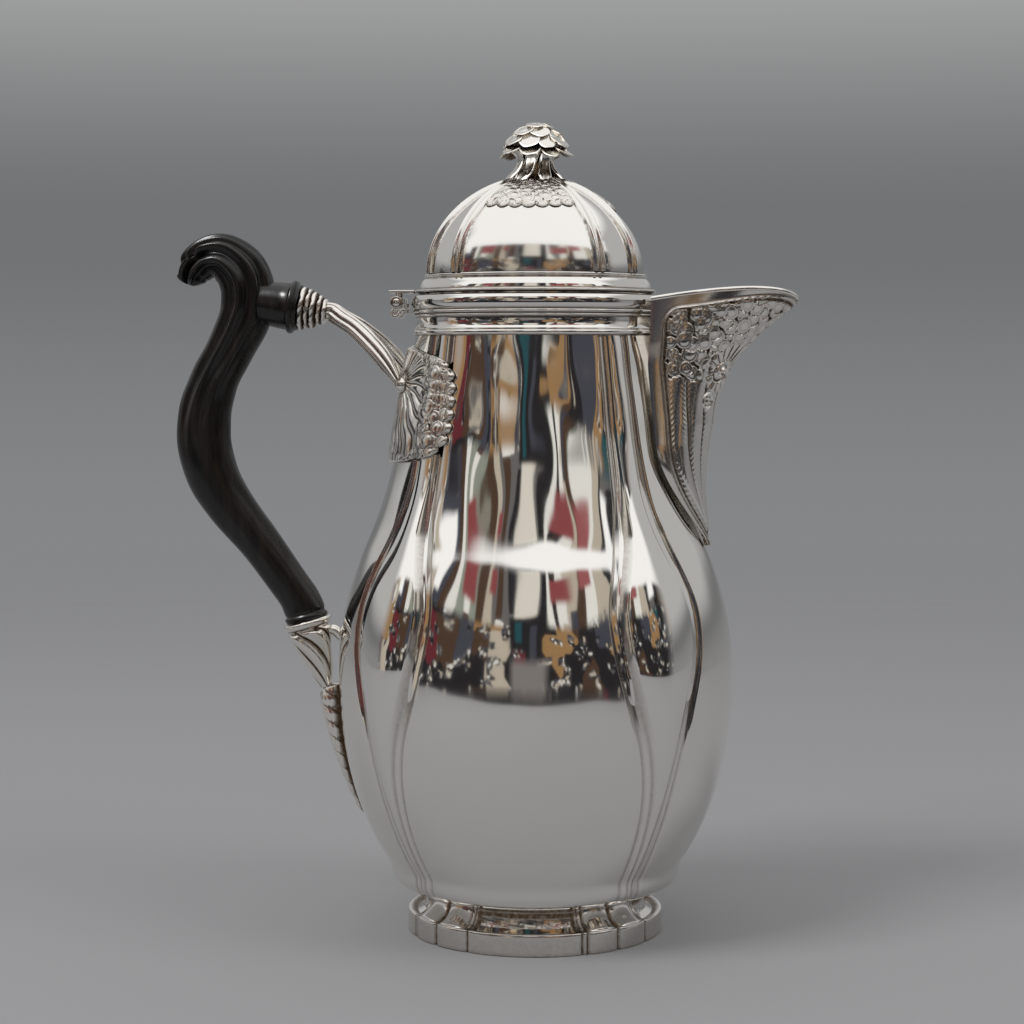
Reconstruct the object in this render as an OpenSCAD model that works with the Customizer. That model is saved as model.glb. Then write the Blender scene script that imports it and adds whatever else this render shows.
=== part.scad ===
// Silver coffee pot with an ebony side handle, a beak spout and a hinged domed lid.
// Millimetres. The origin is the middle of the foot on the table, +Z is up,
// the spout points to +X and the handle to -X.

/* [Foot] */
// Radius of the foot's upright wall
foot_r = 41.3; // [38:0.1:43]
// Height of the upright wall
foot_wall_h = 7; // [5:0.1:9]
// Height of the whole foot
foot_h = 13.6; // [12:0.1:16]
// Thickness of the foot's metal
foot_t = 1.6; // [1.2:0.1:2.4]
// Radius of the foot's top seat
foot_top_r = 35.6; // [34:0.1:37]
// Depth of the notches between the foot's segments
foot_notch = 0.7; // [0.2:0.1:1]
// Height of the wire ring under the body
bead_h = 1.3; // [1:0.1:2.4]

/* [Body] */
// Thickness of the body's metal
wall = 1; // [0.8:0.1:1.6]
// Radius of the flat underside
base_r = 42.4; // [40:0.1:44]
// Height and radius where the bottom turns up into the side
heel_z = 23.2; // [21:0.1:26]
heel_r = 47.6; // [45:0.1:50]
// Height and radius of the belly at its widest
belly_z = 87; // [80:0.5:92]
belly_r = 63.6; // [60:0.1:67]
// Height and radius of the shoulder's turning point
shoulder_z = 124.4; // [118:0.2:128]
shoulder_r = 54.8; // [52:0.1:57]
// Height and radius of the neck's top edge
neck_z = 192.2; // [186:0.2:197]
neck_r = 38.4; // [37.8:0.1:39.4]
// Depth of the creases between the lobes at the belly
crease_d = 1.8; // [0.6:0.1:2.4]
// Half angle of the narrow lobes where they are widest, and its height
lobe_half = 15; // [11:0.5:18]
lobe_z = 106; // [98:0.5:112]
// Half angles of the narrow lobes at the neck and at the foot
lobe_half_neck = 6.5; // [5:0.5:9]
lobe_half_foot = 3; // [2:0.5:6]
// How fast the narrow lobes close above and below their widest height, and the creases fade
lobe_spread_up = 15; // [10:0.5:20]
lobe_spread_down = 26; // [20:0.5:32]
crease_spread = 45; // [30:1:60]

/* [Collar] */
// Radius of the mouth
mouth_r = 36.1; // [35:0.1:36.4]
// Height of the collar's lower and upper mouldings
band_h = 6.8; // [5:0.1:9]
rim_h = 6; // [5:0.1:8]
// Greatest radius of the lower bead, and of the upper half round
bead_r = 39.4; // [38.6:0.1:40]
rim_r = 39.8; // [39:0.1:40.6]
// Radius of the cove between them
cove_r = 38.2; // [37.4:0.1:38.8]

/* [Lid] */
// Gap between the collar and the lid's flange
lid_gap = 0.5; // [0.3:0.1:0.8]
// Radius and height of the flange
flange_r = 38.8; // [38:0.1:39.4]
flange_h = 6.2; // [5:0.1:8]
// Radius of the dome at the flange
dome_r = 34.8; // [33.5:0.1:36]
// Height of the dome above the flange
dome_h = 30.6; // [26:0.1:34]
// Thickness of the lid's metal
lid_t = 1.1; // [0.8:0.1:1.6]
// Height of the dome's ribs
rib_h = 0.8; // [0.3:0.1:1.2]
// Angles of the ribs from the middle of the front and back panels and of the side panels, and their half width
rib_angle = 39; // [36:0.5:41]
rib_angle_side = 25; // [23:0.5:28]
rib_half = 3; // [2:0.25:3.5]
// Depth of the sleeve that centres the lid, its thickness and its clearance
bezel_h = 6; // [4:0.1:8]
bezel_t = 1; // [0.8:0.1:1.4]
bezel_clear = 0.4; // [0.3:0.05:0.6]
// Thickness of the applied frieze
frieze_t = 1.1; // [0.6:0.1:1.8]

/* [Finial] */
// Height and waist radius of the stalks
stem_h = 5.4; // [4:0.1:8]
stem_waist_r = 5.8; // [4:0.1:6]
// Radius of the stalks' spread foot
stem_foot_r = 8.2; // [7:0.1:9.5]
// Radius and height of the blossom
blossom_r = 11.1; // [9:0.1:12]
blossom_h = 12.6; // [10:0.1:14]
// Radius of the screw stud, and the clearance of its holes
stud_r = 1.6; // [1.2:0.1:2.2]
stud_clear = 0.15; // [0.1:0.05:0.3]

/* [Hinge] */
// Distance of the hinge axis beyond the collar, and above the collar's top
hinge_out = 4.2; // [3.6:0.1:5]
hinge_up = -2.2; // [-3:0.1:-1.6]
// Radius of the barrel and of the pin
barrel_r = 2.1; // [1.7:0.05:2.4]
pin_r = 0.9; // [0.7:0.05:1.1]
// Radial clearance of the pin
pin_clear = 0.05; // [0.03:0.01:0.09]
// Length of the whole barrel
barrel_len = 15; // [12:0.5:20]
// Gap between neighbouring knuckles
knuckle_gap = 0.3; // [0.2:0.05:0.5]
// Thickness of the lid's hinge plate
plate_t = 1.2; // [0.9:0.1:1.6]

/* [Spout] */
// Height of the spout's lowest point and of its edge at the collar
spout_low = 125.3; // [121:0.1:130]
spout_high = 202.8; // [199:0.1:204]
// Reach of the tip from the pot's axis
spout_reach = 83.6; // [76:0.5:92]
// How far the nose line leans out from bottom to top, and bows in near the bottom
nose_lean = 1.2; // [0.6:0.1:2]
nose_bow = 2.2; // [1:0.1:2.6]
// Half angle that the spout covers on the neck, and where it is widest
spout_half_top = 24; // [20:0.5:28]
spout_half = 28.5; // [24:0.5:32]
// How far the lip rises between the collar and the tip
lip_rise = 3.4; // [2:0.2:6]
// Radius of the wire along the lip
lip_wire = 0.8; // [0.6:0.05:1.2]
// Thickness of the spout's metal
spout_t = 1.3; // [1:0.1:1.8]
// Height and half angle of the window behind the spout
window_low = 153; // [149:0.5:157]
window_high = 181; // [175:0.5:184]
window_half = 14; // [10:0.5:18]
// Radius and spacing of the strainer's holes
hole_r = 1.3; // [0.8:0.1:1.7]
hole_step = 4.4; // [4:0.1:6]

/* [Handle] */
// Distance of the grip's lower end from the body, and its height
cup_stand = 12.3; // [11.5:0.1:13]
cup_z = 99.6; // [97:0.2:102]
// Distance of the boss's end from the collar, and its height
boss_stand = 36.8; // [33:0.2:40]
boss_z = 201.2; // [198:0.2:204]
// Scale of the grip's thickness across the pot
grip_flat = 0.86; // [0.7:0.02:1]
// Radius of the turned boss and of its rim
boss_r = 8.2; // [7.5:0.1:9]
boss_rim = 0.5; // [0.3:0.1:0.8]
// Radius and length of the upper tenon
tenon_r = 3; // [2.4:0.1:3.2]
tenon_len = 7; // [5:0.2:8]
// Radius and length of the lower tenon
foot_tenon_r = 4.4; // [3.6:0.1:5]
foot_tenon_len = 9; // [7:0.2:11]
// Clearance of the tenons in their sockets
tenon_clear = 0.15; // [0.1:0.05:0.3]
// Radius of the cross pins
cross_r = 0.8; // [0.6:0.05:1]

/* [Handle mounts] */
// Greatest radius of the upper ferrule and its length
ferrule_r = 7; // [6.4:0.1:7.6]
ferrule_len = 9.2; // [8:0.1:11]
// Half width of the arm's strands
arm_half = 2.9; // [2.2:0.1:3.4]
// Angle on the neck where the strands land
arm_angle = 20; // [16:0.5:26]
// Half angle of the fan plate where it is widest, and at its ends
fan_half = 58; // [48:1:62]
fan_half_end = 34; // [28:1:40]
// Lowest and highest edge of the fan plate
fan_low = 151.2; // [147:0.1:155]
fan_high = 189.2; // [185:0.1:190]
// Thickness of the fan plate at its middle and at its edge
fan_t = 2.4; // [1.6:0.1:3.2]
fan_rim = 0.8; // [0.5:0.1:1.2]
// Radius of the lower socket at its mouth and at its tip, and its length
cup_r = 8; // [7.6:0.1:9]
cup_tip_r = 3; // [2.4:0.1:3.6]
cup_len = 20; // [17:0.2:23]
// Lowest point, length and half width of the pendant leaf
leaf_low = 35.8; // [33:0.1:39]
leaf_len = 42; // [38:0.5:43]
leaf_half = 6.2; // [4.5:0.1:7.5]
// How far the leaf stands off the body at its top
leaf_rise = 8.6; // [6.5:0.1:9.4]
// Radius of the strut
strut_r = 2; // [1.4:0.1:2.6]

/* [Hidden] */
$fn = 96;

SILVER = [0.83, 0.82, 0.79];
OLD_SILVER = [0.72, 0.69, 0.63];
EBONY = [0.06, 0.055, 0.05];

// Solder gap between a curved piece and the curved piece that carries it
seat_gap = 0.2;
// Overlap of cutting tools past the metal that they cut
over = 1;

// Stack of heights, from the table up
base_z = foot_h + bead_h;
band_z = neck_z;
rim_z = band_z + band_h;
collar_z = rim_z + rim_h;
flange_z = collar_z + lid_gap;
dome_z = flange_z + flange_h;
crown_z = dome_z + dome_h;
blossom_z = crown_z + stem_h;
hinge_x = -(rim_r + hinge_out);
hinge_z = collar_z + hinge_up;

// General functions

function unit(v) = v / norm(v);
function lerp(a, b, t) = a + (b - a) * t;
function bell(x, spread) = exp(-x * x / (2 * spread * spread));

// Cubic curve from value a to b over a span, with a slope at each end
function hermite(a, b, slope_a, slope_b, span, t) =
    (2 * t ^ 3 - 3 * t ^ 2 + 1) * a + (t ^ 3 - 2 * t ^ 2 + t) * span * slope_a
    + (3 * t ^ 2 - 2 * t ^ 3) * b + (t ^ 3 - t ^ 2) * span * slope_b;

// Smooth curve through a list of points, at parameter t from 0 to 1
function smooth_at(points, t) =
    let (last = len(points) - 1,
        at = min(t * last, last - 0.0001),
        i = floor(at),
        f = at - i,
        p0 = points[max(i - 1, 0)],
        p1 = points[i],
        p2 = points[i + 1],
        p3 = points[min(i + 2, last)])
    0.5 * (2 * p1 + (p2 - p0) * f + (2 * p0 - 5 * p1 + 4 * p2 - p3) * f ^ 2
        + (3 * p1 - p0 - 3 * p2 + p3) * f ^ 3);

// Faces of a wall of rows by columns, with the columns running round and round
function round_faces(rows, cols, wrap) =
    [for (i = [0 : rows - (wrap ? 1 : 2)], j = [0 : cols - 1], half = [0, 1])
        let (a = i * cols + j, b = i * cols + (j + 1) % cols,
            c = ((i + 1) % rows) * cols + (j + 1) % cols, d = ((i + 1) % rows) * cols + j)
        half == 0 ? [a, c, b] : [a, d, c]];

// Closed ring of metal: each row is one loop round the axis, and the last row joins the first
module ring_solid(rows) {
    cols = len(rows[0]);
    polyhedron([for (row = rows, p = row) p], round_faces(len(rows), cols, true));
}

// Solid of stacked loops, closed by a flat face at each end
module loft_solid(rows) {
    cols = len(rows[0]);
    last = (len(rows) - 1) * cols;
    polyhedron([for (row = rows, p = row) p],
        concat(round_faces(len(rows), cols, false),
            [[for (j = [0 : cols - 1]) j]],
            [[for (j = [cols - 1 : -1 : 0]) last + j]]));
}

// Plate between a front and a back grid of points of the same size
module plate_solid(front, back) {
    rows = [for (i = [0 : len(front) - 1])
        concat(front[i], [for (j = [len(back[i]) - 1 : -1 : 0]) back[i][j]])];
    cols = len(rows[0]);
    half = len(front[0]);
    last = (len(rows) - 1) * cols;
    caps = [for (j = [0 : half - 2], end = [0, 1], tri = [0, 1])
        let (o = end * last, a = o + j, b = o + j + 1, c = o + cols - 2 - j, d = o + cols - 1 - j,
            t = tri == 0 ? [a, b, c] : [a, c, d])
        end == 0 ? t : [t[2], t[1], t[0]]];
    polyhedron([for (row = rows, p = row) p], concat(round_faces(len(rows), cols, false), caps));
}

// Ellipse of points round a path's point, across its direction
function section(p, along, in_plane, across, sides) =
    let (b = unit([0, 1, 0] - (along * [0, 1, 0]) * along), n = cross(b, along))
    [for (i = [0 : sides - 1])
        p + in_plane * cos(360 * i / sides) * n + across * sin(360 * i / sides) * b];

// Tube through a list of points with half widths [x, y, z, in plane, across]
module smooth_tube(points, rings, sides) {
    eps = 0.002;
    loft_solid([for (i = [0 : rings])
        let (t = i / rings,
            q = smooth_at(points, t),
            ahead = smooth_at(points, min(t + eps, 1)),
            behind = smooth_at(points, max(t - eps, 0)),
            along = unit([ahead.x - behind.x, ahead.y - behind.y, ahead.z - behind.z]))
        section([q.x, q.y, q.z], along, q[3], q[4], sides)]);
}

// Shape of the body

// Radius at the middle of a wide panel
function panel_r(z) =
    z < heel_z ? hermite(base_r, heel_r, 2.2, 0.66, heel_z - base_z, (z - base_z) / (heel_z - base_z))
    : z < belly_z ? hermite(heel_r, belly_r, 0.66, 0, belly_z - heel_z, (z - heel_z) / (belly_z - heel_z))
    : z < shoulder_z ? hermite(belly_r, shoulder_r, 0, -0.46, shoulder_z - belly_z,
        (z - belly_z) / (shoulder_z - belly_z))
    : hermite(shoulder_r, neck_r, -0.46, -0.16, neck_z - shoulder_z, (z - shoulder_z) / (neck_z - shoulder_z));

// Half angle of a narrow lobe
function lobe_at(z) = z > lobe_z
    ? lobe_half_neck + (lobe_half - lobe_half_neck) * bell(z - lobe_z, lobe_spread_up)
    : lobe_half_foot + (lobe_half - lobe_half_foot) * bell(z - lobe_z, lobe_spread_down);

// Depth of the creases, shallower towards the neck and the foot
function crease_at(z) = crease_d * (0.45 + 0.55 * bell(z - belly_z, crease_spread));

// Radius at any angle: wide panels on the axes, narrow lobes on the diagonals, creases between
function body_r(angle, z) =
    let (turn = ((angle + 45) % 90 + 90) % 90 - 45,
        away = abs(turn),
        half = lobe_at(z),
        edge = 45 - half,
        depth = crease_at(z))
    panel_r(z) - (away <= edge ? depth * (away / edge) ^ 2
        : depth * (1 - (0.3 + 0.4 * half / lobe_half) * (1 - ((45 - away) / half) ^ 2)));

function polar(r, angle, z) = [r * cos(angle), r * sin(angle), z];

// Angles round one loop, with samples kept on the creases
panel_steps = 8;
lobe_steps = 4;
quarter_steps = panel_steps + lobe_steps;
body_cols = 4 * quarter_steps;
function loop_angle(j, z) =
    let (k = floor(j / quarter_steps), i = j % quarter_steps, half = lobe_at(z))
    90 * k + (i <= panel_steps ? (2 * i / panel_steps - 1) * (45 - half)
        : 45 - half + 2 * half * (i - panel_steps) / lobe_steps);

// Heights of the body's loops, closer together near the foot
body_rows = 34;
body_levels = [for (i = [0 : body_rows]) lerp(base_z, neck_z, (i / body_rows) ^ 1.25)];
inner_levels = [for (z = body_levels) max(z, base_z + wall)];

// What the window leaves out of the wall, as loops and columns of the grid
function in_window(i, j) =
    let (z = (body_levels[i] + body_levels[i + 1]) / 2,
        a = (loop_angle(j, z) + loop_angle(j + 1, z)) / 2)
    z > window_low && z < window_high && abs(a > 180 ? a - 360 : a) < window_half;

module body() {
    rows = body_rows + 1;
    cols = body_cols;
    outer = [for (z = body_levels, j = [0 : cols - 1])
        let (a = loop_angle(j, z)) polar(body_r(a, z), a, z)];
    inner = [for (i = [0 : body_rows], j = [0 : cols - 1])
        let (z = body_levels[i], a = loop_angle(j, z)) polar(body_r(a, z) - wall, a, inner_levels[i])];
    count = rows * cols;
    middle = 2 * count;
    cells = [for (i = [0 : body_rows - 1], j = [0 : cols - 1])
        [i, j, i * cols + j, i * cols + (j + 1) % cols, (i + 1) * cols + (j + 1) % cols, (i + 1) * cols + j]];
    walls = [for (q = cells) if (!in_window(q[0], q[1]))
        each [[q[2], q[4], q[3]], [q[2], q[5], q[4]],
            [count + q[2], count + q[3], count + q[4]], [count + q[2], count + q[4], count + q[5]]]];
    // Edges of the window: a side of a cell that is cut out, where its neighbour stays
    edges = [for (q = cells) if (in_window(q[0], q[1]))
        each [for (side = [[-1, 0, q[2], q[3]], [0, 1, q[3], q[4]], [1, 0, q[4], q[5]], [0, -1, q[5], q[2]]])
            if (!in_window(q[0] + side[0], (q[1] + side[1] + cols) % cols))
                each [[side[2], side[3], count + side[3]], [side[2], count + side[3], count + side[2]]]]];
    top = [for (j = [0 : cols - 1])
        let (a = body_rows * cols + j, b = body_rows * cols + (j + 1) % cols)
        each [[a, count + a, count + b], [a, count + b, b]]];
    floors = [for (j = [0 : cols - 1]) let (n = (j + 1) % cols)
        each [[middle, j, n], [middle + 1, count + n, count + j]]];
    color(SILVER)
        polyhedron(concat(outer, inner, [[0, 0, base_z], [0, 0, base_z + wall]]),
            concat(walls, edges, top, floors));
}

// Shape of the foot: an upright wall with a hollow shoulder, open underneath

foot_segments = [-27.5, 27.5, 45];
foot_flange = 4;
cove_steps = 8;

module foot() {
    drop = foot_h - foot_wall_h;
    run = foot_r - foot_top_r;
    // Hollow curve from the top of the wall in and up to the seat
    cove = [for (i = [0 : cove_steps]) let (a = 90 * i / cove_steps)
        [foot_r - run * sin(a), foot_wall_h + drop * (1 - cos(a))]];
    hollow = [for (p = cove) [max(p[0] - foot_t, foot_top_r - foot_flange), p[1] - foot_t]];
    color(SILVER)
        difference() {
            rotate_extrude()
                polygon(concat([[foot_r - foot_t, 0], [foot_r, 0]], cove,
                    [[foot_top_r - foot_flange, foot_h], [foot_top_r - foot_flange, foot_h - foot_t]],
                    [for (i = [cove_steps : -1 : 0]) hollow[i]]));
            for (k = [0 : 3], a = foot_segments)
                rotate(90 * k + a)
                    translate([foot_r - foot_notch, 0, -over])
                        rotate(-45)
                            cube([2 * foot_notch, 2 * foot_notch, foot_wall_h + 2 * over]);
        }
}

module foot_bead() {
    color(SILVER)
        rotate_extrude() {
            translate([foot_top_r - foot_flange, foot_h])
                square([foot_flange, bead_h]);
            translate([foot_top_r, foot_h + bead_h / 2])
                circle(r = bead_h / 2, $fn = 32);
        }
}

// Collar: a bead and a cove on the neck, and a half round at the mouth

module neck_band() {
    bead = 2;
    arc = 10;
    color(SILVER)
        rotate_extrude()
            polygon(concat(
                [[mouth_r, band_z]],
                [for (i = [0 : arc]) let (a = -90 + 180 * i / arc)
                    [bead_r - bead / 2 + bead / 2 * cos(a), band_z + bead / 2 + bead / 2 * sin(a)]],
                [[cove_r, band_z + bead], [cove_r, rim_z], [mouth_r, rim_z]]));
}

module rim_ring() {
    arc = 14;
    depth = rim_r - cove_r;
    color(SILVER)
        rotate_extrude()
            polygon(concat([[mouth_r, rim_z]],
                [for (i = [0 : arc]) let (a = -90 + 180 * i / arc)
                    [cove_r + depth * cos(a), rim_z + rim_h / 2 + rim_h / 2 * sin(a)]],
                [[mouth_r, collar_z]]));
}

// Spout: cross sections from the neck's edge E to the nose N, stacked from the low point to the lip

// What the spout is soldered to: the body, and from just under the collar the collar
collar_lap = 2;
function seat_r(angle, z) =
    seat_gap + max(body_r(angle, min(z, neck_z)), z > neck_z - collar_lap ? rim_r : 0);

function spout_angle(u) =
    let (widest = 0.42)
    u < widest ? max(spout_half * sin(90 * u / widest) ^ 0.9, 3.5)
    : lerp(spout_half, spout_half_top, (u - widest) / (1 - widest));

// The nose line stands off the neck a little at first, and sweeps out to the tip near the top
function nose_x(u) =
    let (low_x = panel_r(spout_low) + spout_t + seat_gap,
        sweep = max((u - 0.42) / 0.58, 0))
    low_x + nose_lean * u - nose_bow * sin(180 * min(u / 0.5, 1)) * (u < 0.5 ? 1 : 0)
        + (spout_reach - low_x - nose_lean) * sweep ^ 2.6;

function spout_point(u, v) =
    let (side = v < 0 ? -1 : 1,
        t = 1 - abs(v),
        angle = spout_angle(u),
        z = lerp(spout_low, spout_high, u),
        edge_r = seat_r(angle, z) + spout_t,
        round_x = lerp(1, 1.25, u),
        x = lerp(edge_r * cos(angle), nose_x(u), sin(90 * t) ^ round_x),
        y = edge_r * sin(angle) * cos(90 * t) ^ lerp(1, 1.1, u),
        lift = lip_rise * u ^ 4 * sin(180 * t ^ 1.15),
        turn = atan2(y, x),
        r = max(norm([x, y]), seat_r(turn, z) + spout_t))
    polar(r, side * turn, z + lift);

// Point of the inner face, one thickness in and clear of what carries the spout
function spout_inner(u, v) =
    let (e = 0.01,
        p = spout_point(u, v),
        du = spout_point(min(u + e, 1), v) - spout_point(max(u - e, 0), v),
        dv = spout_point(u, min(v + e, 1)) - spout_point(u, max(v - e, -1)),
        n = unit(cross(dv, du)),
        q = p + spout_t * n * (n.x * p.x + n.y * p.y > 0 ? -1 : 1),
        turn = atan2(q.y, q.x),
        r = max(norm([q.x, q.y]), seat_r(turn, p.z)))
    polar(r, turn, p.z);

spout_rows = 24;
spout_cols = 24;
function spout_u(i) = (i / spout_rows) ^ 0.85;
function spout_v(j) = 2 * j / spout_cols - 1;

module spout() {
    front = [for (i = [0 : spout_rows]) [for (j = [0 : spout_cols]) spout_point(spout_u(i), spout_v(j))]];
    back = [for (i = [0 : spout_rows]) [for (j = [0 : spout_cols]) spout_inner(spout_u(i), spout_v(j))]];
    color(SILVER) plate_solid(front, back);
}

module spout_lip() {
    lip_steps = 40;
    up = lip_wire + seat_gap / 2;
    line = [for (j = [0 : lip_steps])
        let (v = 2 * j / lip_steps - 1, p = (spout_point(1, v) + spout_inner(1, v)) / 2)
        p + [0, 0, up]];
    color(SILVER)
        loft_solid([for (j = [0 : lip_steps])
            let (flat_along = line[min(j + 1, lip_steps)] - line[max(j - 1, 0)],
                along = unit(flat_along),
                side = unit(cross(along, [0, 0, 1])),
                above = cross(side, along))
            [for (i = [0 : 7]) line[j] + lip_wire * (cos(45 * i) * side + sin(45 * i) * above)]]);
}

// Pierced plate inside the neck, over the window
module spout_strainer() {
    margin = 3;
    half = window_half + 4;
    low = window_low - margin;
    high = window_high + margin;
    // The plate is straight from edge to edge, so it stands off the hollow curve of the neck
    hollow = (body_r(half, low) + body_r(half, high)) / 2 - body_r(half, (low + high) / 2);
    function plate_r(z) = body_r(half, z) - wall - 2 * seat_gap - hollow;
    rows = floor((window_high - window_low - 2 * hole_r) / hole_step);
    mid_r = (plate_r(low) + plate_r(high)) / 2;
    turn_step = hole_step / mid_r * 180 / PI;
    cols = floor((window_half - hole_r / mid_r * 180 / PI) / turn_step);
    color(OLD_SILVER)
        difference() {
            rotate(-half)
                rotate_extrude(angle = 2 * half)
                    polygon([[plate_r(low) - wall, low], [plate_r(low), low],
                        [plate_r(high), high], [plate_r(high) - wall, high]]);
            for (i = [0 : rows], j = [-cols : cols])
                rotate(j * turn_step)
                    translate([mid_r - 10, 0, window_low + hole_r + hole_step * i])
                        rotate([0, 90, 0])
                            cylinder(r = hole_r, h = 20, $fn = 24);
        }
}

// Lid

// Dome's outline: near an ellipse from the flange to the crown, a little straighter at the sides
dome_power = 1.12;
function dome_profile(t) = [dome_r * cos(90 * t) ^ dome_power, dome_z + dome_h * sin(90 * t)];
function dome_share(r) = acos((r / dome_r) ^ (1 / dome_power)) / 90;

// The plan is a little wider on the diagonals, and the ribs stand proud
function cushion(angle) = 1 + 0.02 * (1 - cos(4 * angle)) / 2;
rib_low = rib_angle_side;
rib_high = 90 - rib_angle;
function rib_at(angle) =
    let (turn = abs(((angle + 90) % 180 + 180) % 180 - 90))
    min(abs(turn - rib_low), abs(turn - rib_high)) < rib_half ? rib_h : 0;
function rib_marks(a) = [a - rib_half - 0.2, a - rib_half, a + rib_half, a + rib_half + 0.2];

hole_top = stud_r + stud_clear;
dome_rows = 12;
dome_angles = [for (k = [0 : 1], a = concat(
        [-90, -78, -66], rib_marks(-rib_high), [-(rib_low + rib_high) / 2], rib_marks(-rib_low),
        [-12, 0, 12],
        rib_marks(rib_low), [(rib_low + rib_high) / 2], rib_marks(rib_high), [66, 78]))
    180 * k + a];

// A point of the dome, offset from its outer face, with the ribs fading near the crown
function dome_point(t, angle, offset, ribs) =
    let (p = dome_profile(t),
        fade = 1 - t ^ 6,
        r = p[0] * cushion(angle) ^ fade + ribs * rib_at(angle) * fade)
    polar(max(r + offset * cos(90 * t), hole_top), angle, p[1] + offset * sin(90 * t));

// Share of the outline where the hole for the stud begins
dome_end = dome_share(hole_top);

module lid_dome() {
    outer = [for (i = [0 : dome_rows]) let (t = dome_end * i / dome_rows)
        [for (a = dome_angles) dome_point(t, a, 0, 1)]];
    inner = [for (i = [dome_rows : -1 : 0]) let (t = dome_end * i / dome_rows)
        [for (a = dome_angles) let (p = dome_point(t, a, -lid_t, 0)) [p.x, p.y, max(p.z, dome_z)]]];
    color(SILVER) ring_solid(concat(outer, inner));
}

module lid_rim() {
    lip = 1.6;
    arc = 8;
    color(SILVER)
        rotate_extrude()
            polygon(concat(
                [[dome_r - lid_t - 1, flange_z], [flange_r - 0.4, flange_z], [flange_r, flange_z + 0.4],
                    [flange_r, flange_z + lip]],
                [for (i = [1 : arc]) let (a = 90 * i / arc)
                    [flange_r - 0.8 - (flange_r - dome_r - 1.4) * (1 - cos(a)),
                        flange_z + lip + (flange_h - lip) * sin(a)]],
                [[dome_r - lid_t - 1, dome_z]]));
}

module lid_bezel() {
    outer = mouth_r - bezel_clear;
    color(SILVER)
        translate([0, 0, flange_z - bezel_h])
            difference() {
                cylinder(r = outer, h = bezel_h);
                translate([0, 0, -over])
                    cylinder(r = outer - bezel_t, h = bezel_h + 2 * over);
            }
}

// Four applied patches between the ribs, with a scalloped lower edge
module lid_frieze() {
    rows = 3;
    cols = 24;
    function at(i, j, offset, half) =
        let (s = 2 * j / cols - 1,
            low = 0.45 + 0.03 * cos(720 * s) - 0.02 * cos(180 * s),
            t = lerp(low, 0.77, i / rows))
        dome_point(t, half * s, offset, 0);
    color(SILVER)
        for (k = [0 : 3]) {
            half = (k % 2 == 0 ? rib_angle_side : rib_angle) - rib_half - 1.5;
            front = [for (i = [0 : rows]) [for (j = [0 : cols]) at(i, j, seat_gap + frieze_t, half)]];
            back = [for (i = [0 : rows]) [for (j = [0 : cols]) at(i, j, seat_gap / 2, half)]];
            rotate(90 * k) plate_solid(front, back);
        }
}

// Finial

stalks = 6;
stem_rows = 8;
stem_cols = 36;

module finial_stem() {
    bore = hole_top;
    foot_z = dome_profile(dome_share(stem_foot_r))[1] + seat_gap;
    function stem_r(t) = stem_waist_r + (stem_foot_r - stem_waist_r) * (1 - t) ^ 3 + 1.6 * t ^ 4;
    outer = [for (i = [0 : stem_rows]) let (t = i / stem_rows, z = lerp(crown_z + seat_gap, blossom_z, t))
        [for (j = [0 : stem_cols - 1]) let (a = 360 * j / stem_cols)
            polar(stem_r(t) * (1 + 0.09 * cos(stalks * a + 120 * t)), a, i == 0 ? foot_z : z)]];
    inner = [for (i = [stem_rows : -1 : 0]) let (t = i / stem_rows, z = lerp(crown_z + seat_gap, blossom_z, t))
        [for (j = [0 : stem_cols - 1]) polar(bore, 360 * j / stem_cols, z)]];
    color(SILVER) ring_solid(concat(outer, inner));
}

module finial_blossom() {
    rows = 12;
    cols = 48;
    petals = 8;
    bore_depth = blossom_h * 0.6;
    function petal_r(t) = blossom_r * (t < 0.2 ? lerp(0.6, 1, (t / 0.2) ^ 0.6)
        : cos(90 * ((t - 0.2) / 0.8)) ^ 0.6);
    outer = [for (i = [0 : rows]) let (t = i / rows)
        [for (j = [0 : cols - 1]) let (a = 360 * j / cols)
            polar(max(petal_r(t) * (1 + 0.03 * cos(petals * a + 180 * floor(3 * t))), hole_top * 1.2),
                a, blossom_z + blossom_h * t)]];
    color(SILVER)
        difference() {
            loft_solid(outer);
            translate([0, 0, blossom_z - over])
                cylinder(r = hole_top, h = bore_depth + over, $fn = 32);
        }
}

module finial_stud() {
    below = 6;
    up = blossom_h * 0.6 - 0.4;
    color(OLD_SILVER)
        translate([0, 0, crown_z - lid_t - below])
            cylinder(r = stud_r, h = below + lid_t + stem_h + up, $fn = 32);
}

module finial_nut() {
    nut_r = 4;
    nut_h = 2.6;
    washer_r = 5.5;
    washer_h = 0.8;
    top = crown_z - lid_t - 0.7;
    color(OLD_SILVER)
        difference() {
            union() {
                translate([0, 0, top - washer_h])
                    cylinder(r = washer_r, h = washer_h, $fn = 48);
                translate([0, 0, top - washer_h - nut_h])
                    cylinder(r = nut_r, h = nut_h, $fn = 6);
            }
            translate([0, 0, top - washer_h - nut_h - over])
                cylinder(r = stud_r + 0.05, h = nut_h + washer_h + 2 * over, $fn = 32);
        }
}

// Hinge: two knuckles on the collar, one on the lid, and a pin

knuckle = barrel_len / 3;
bore_r = pin_r + pin_clear;

module along_y(from, to, r) {
    translate([hinge_x, from, hinge_z])
        rotate([-90, 0, 0])
            cylinder(r = r, h = to - from, $fn = 48);
}

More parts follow.
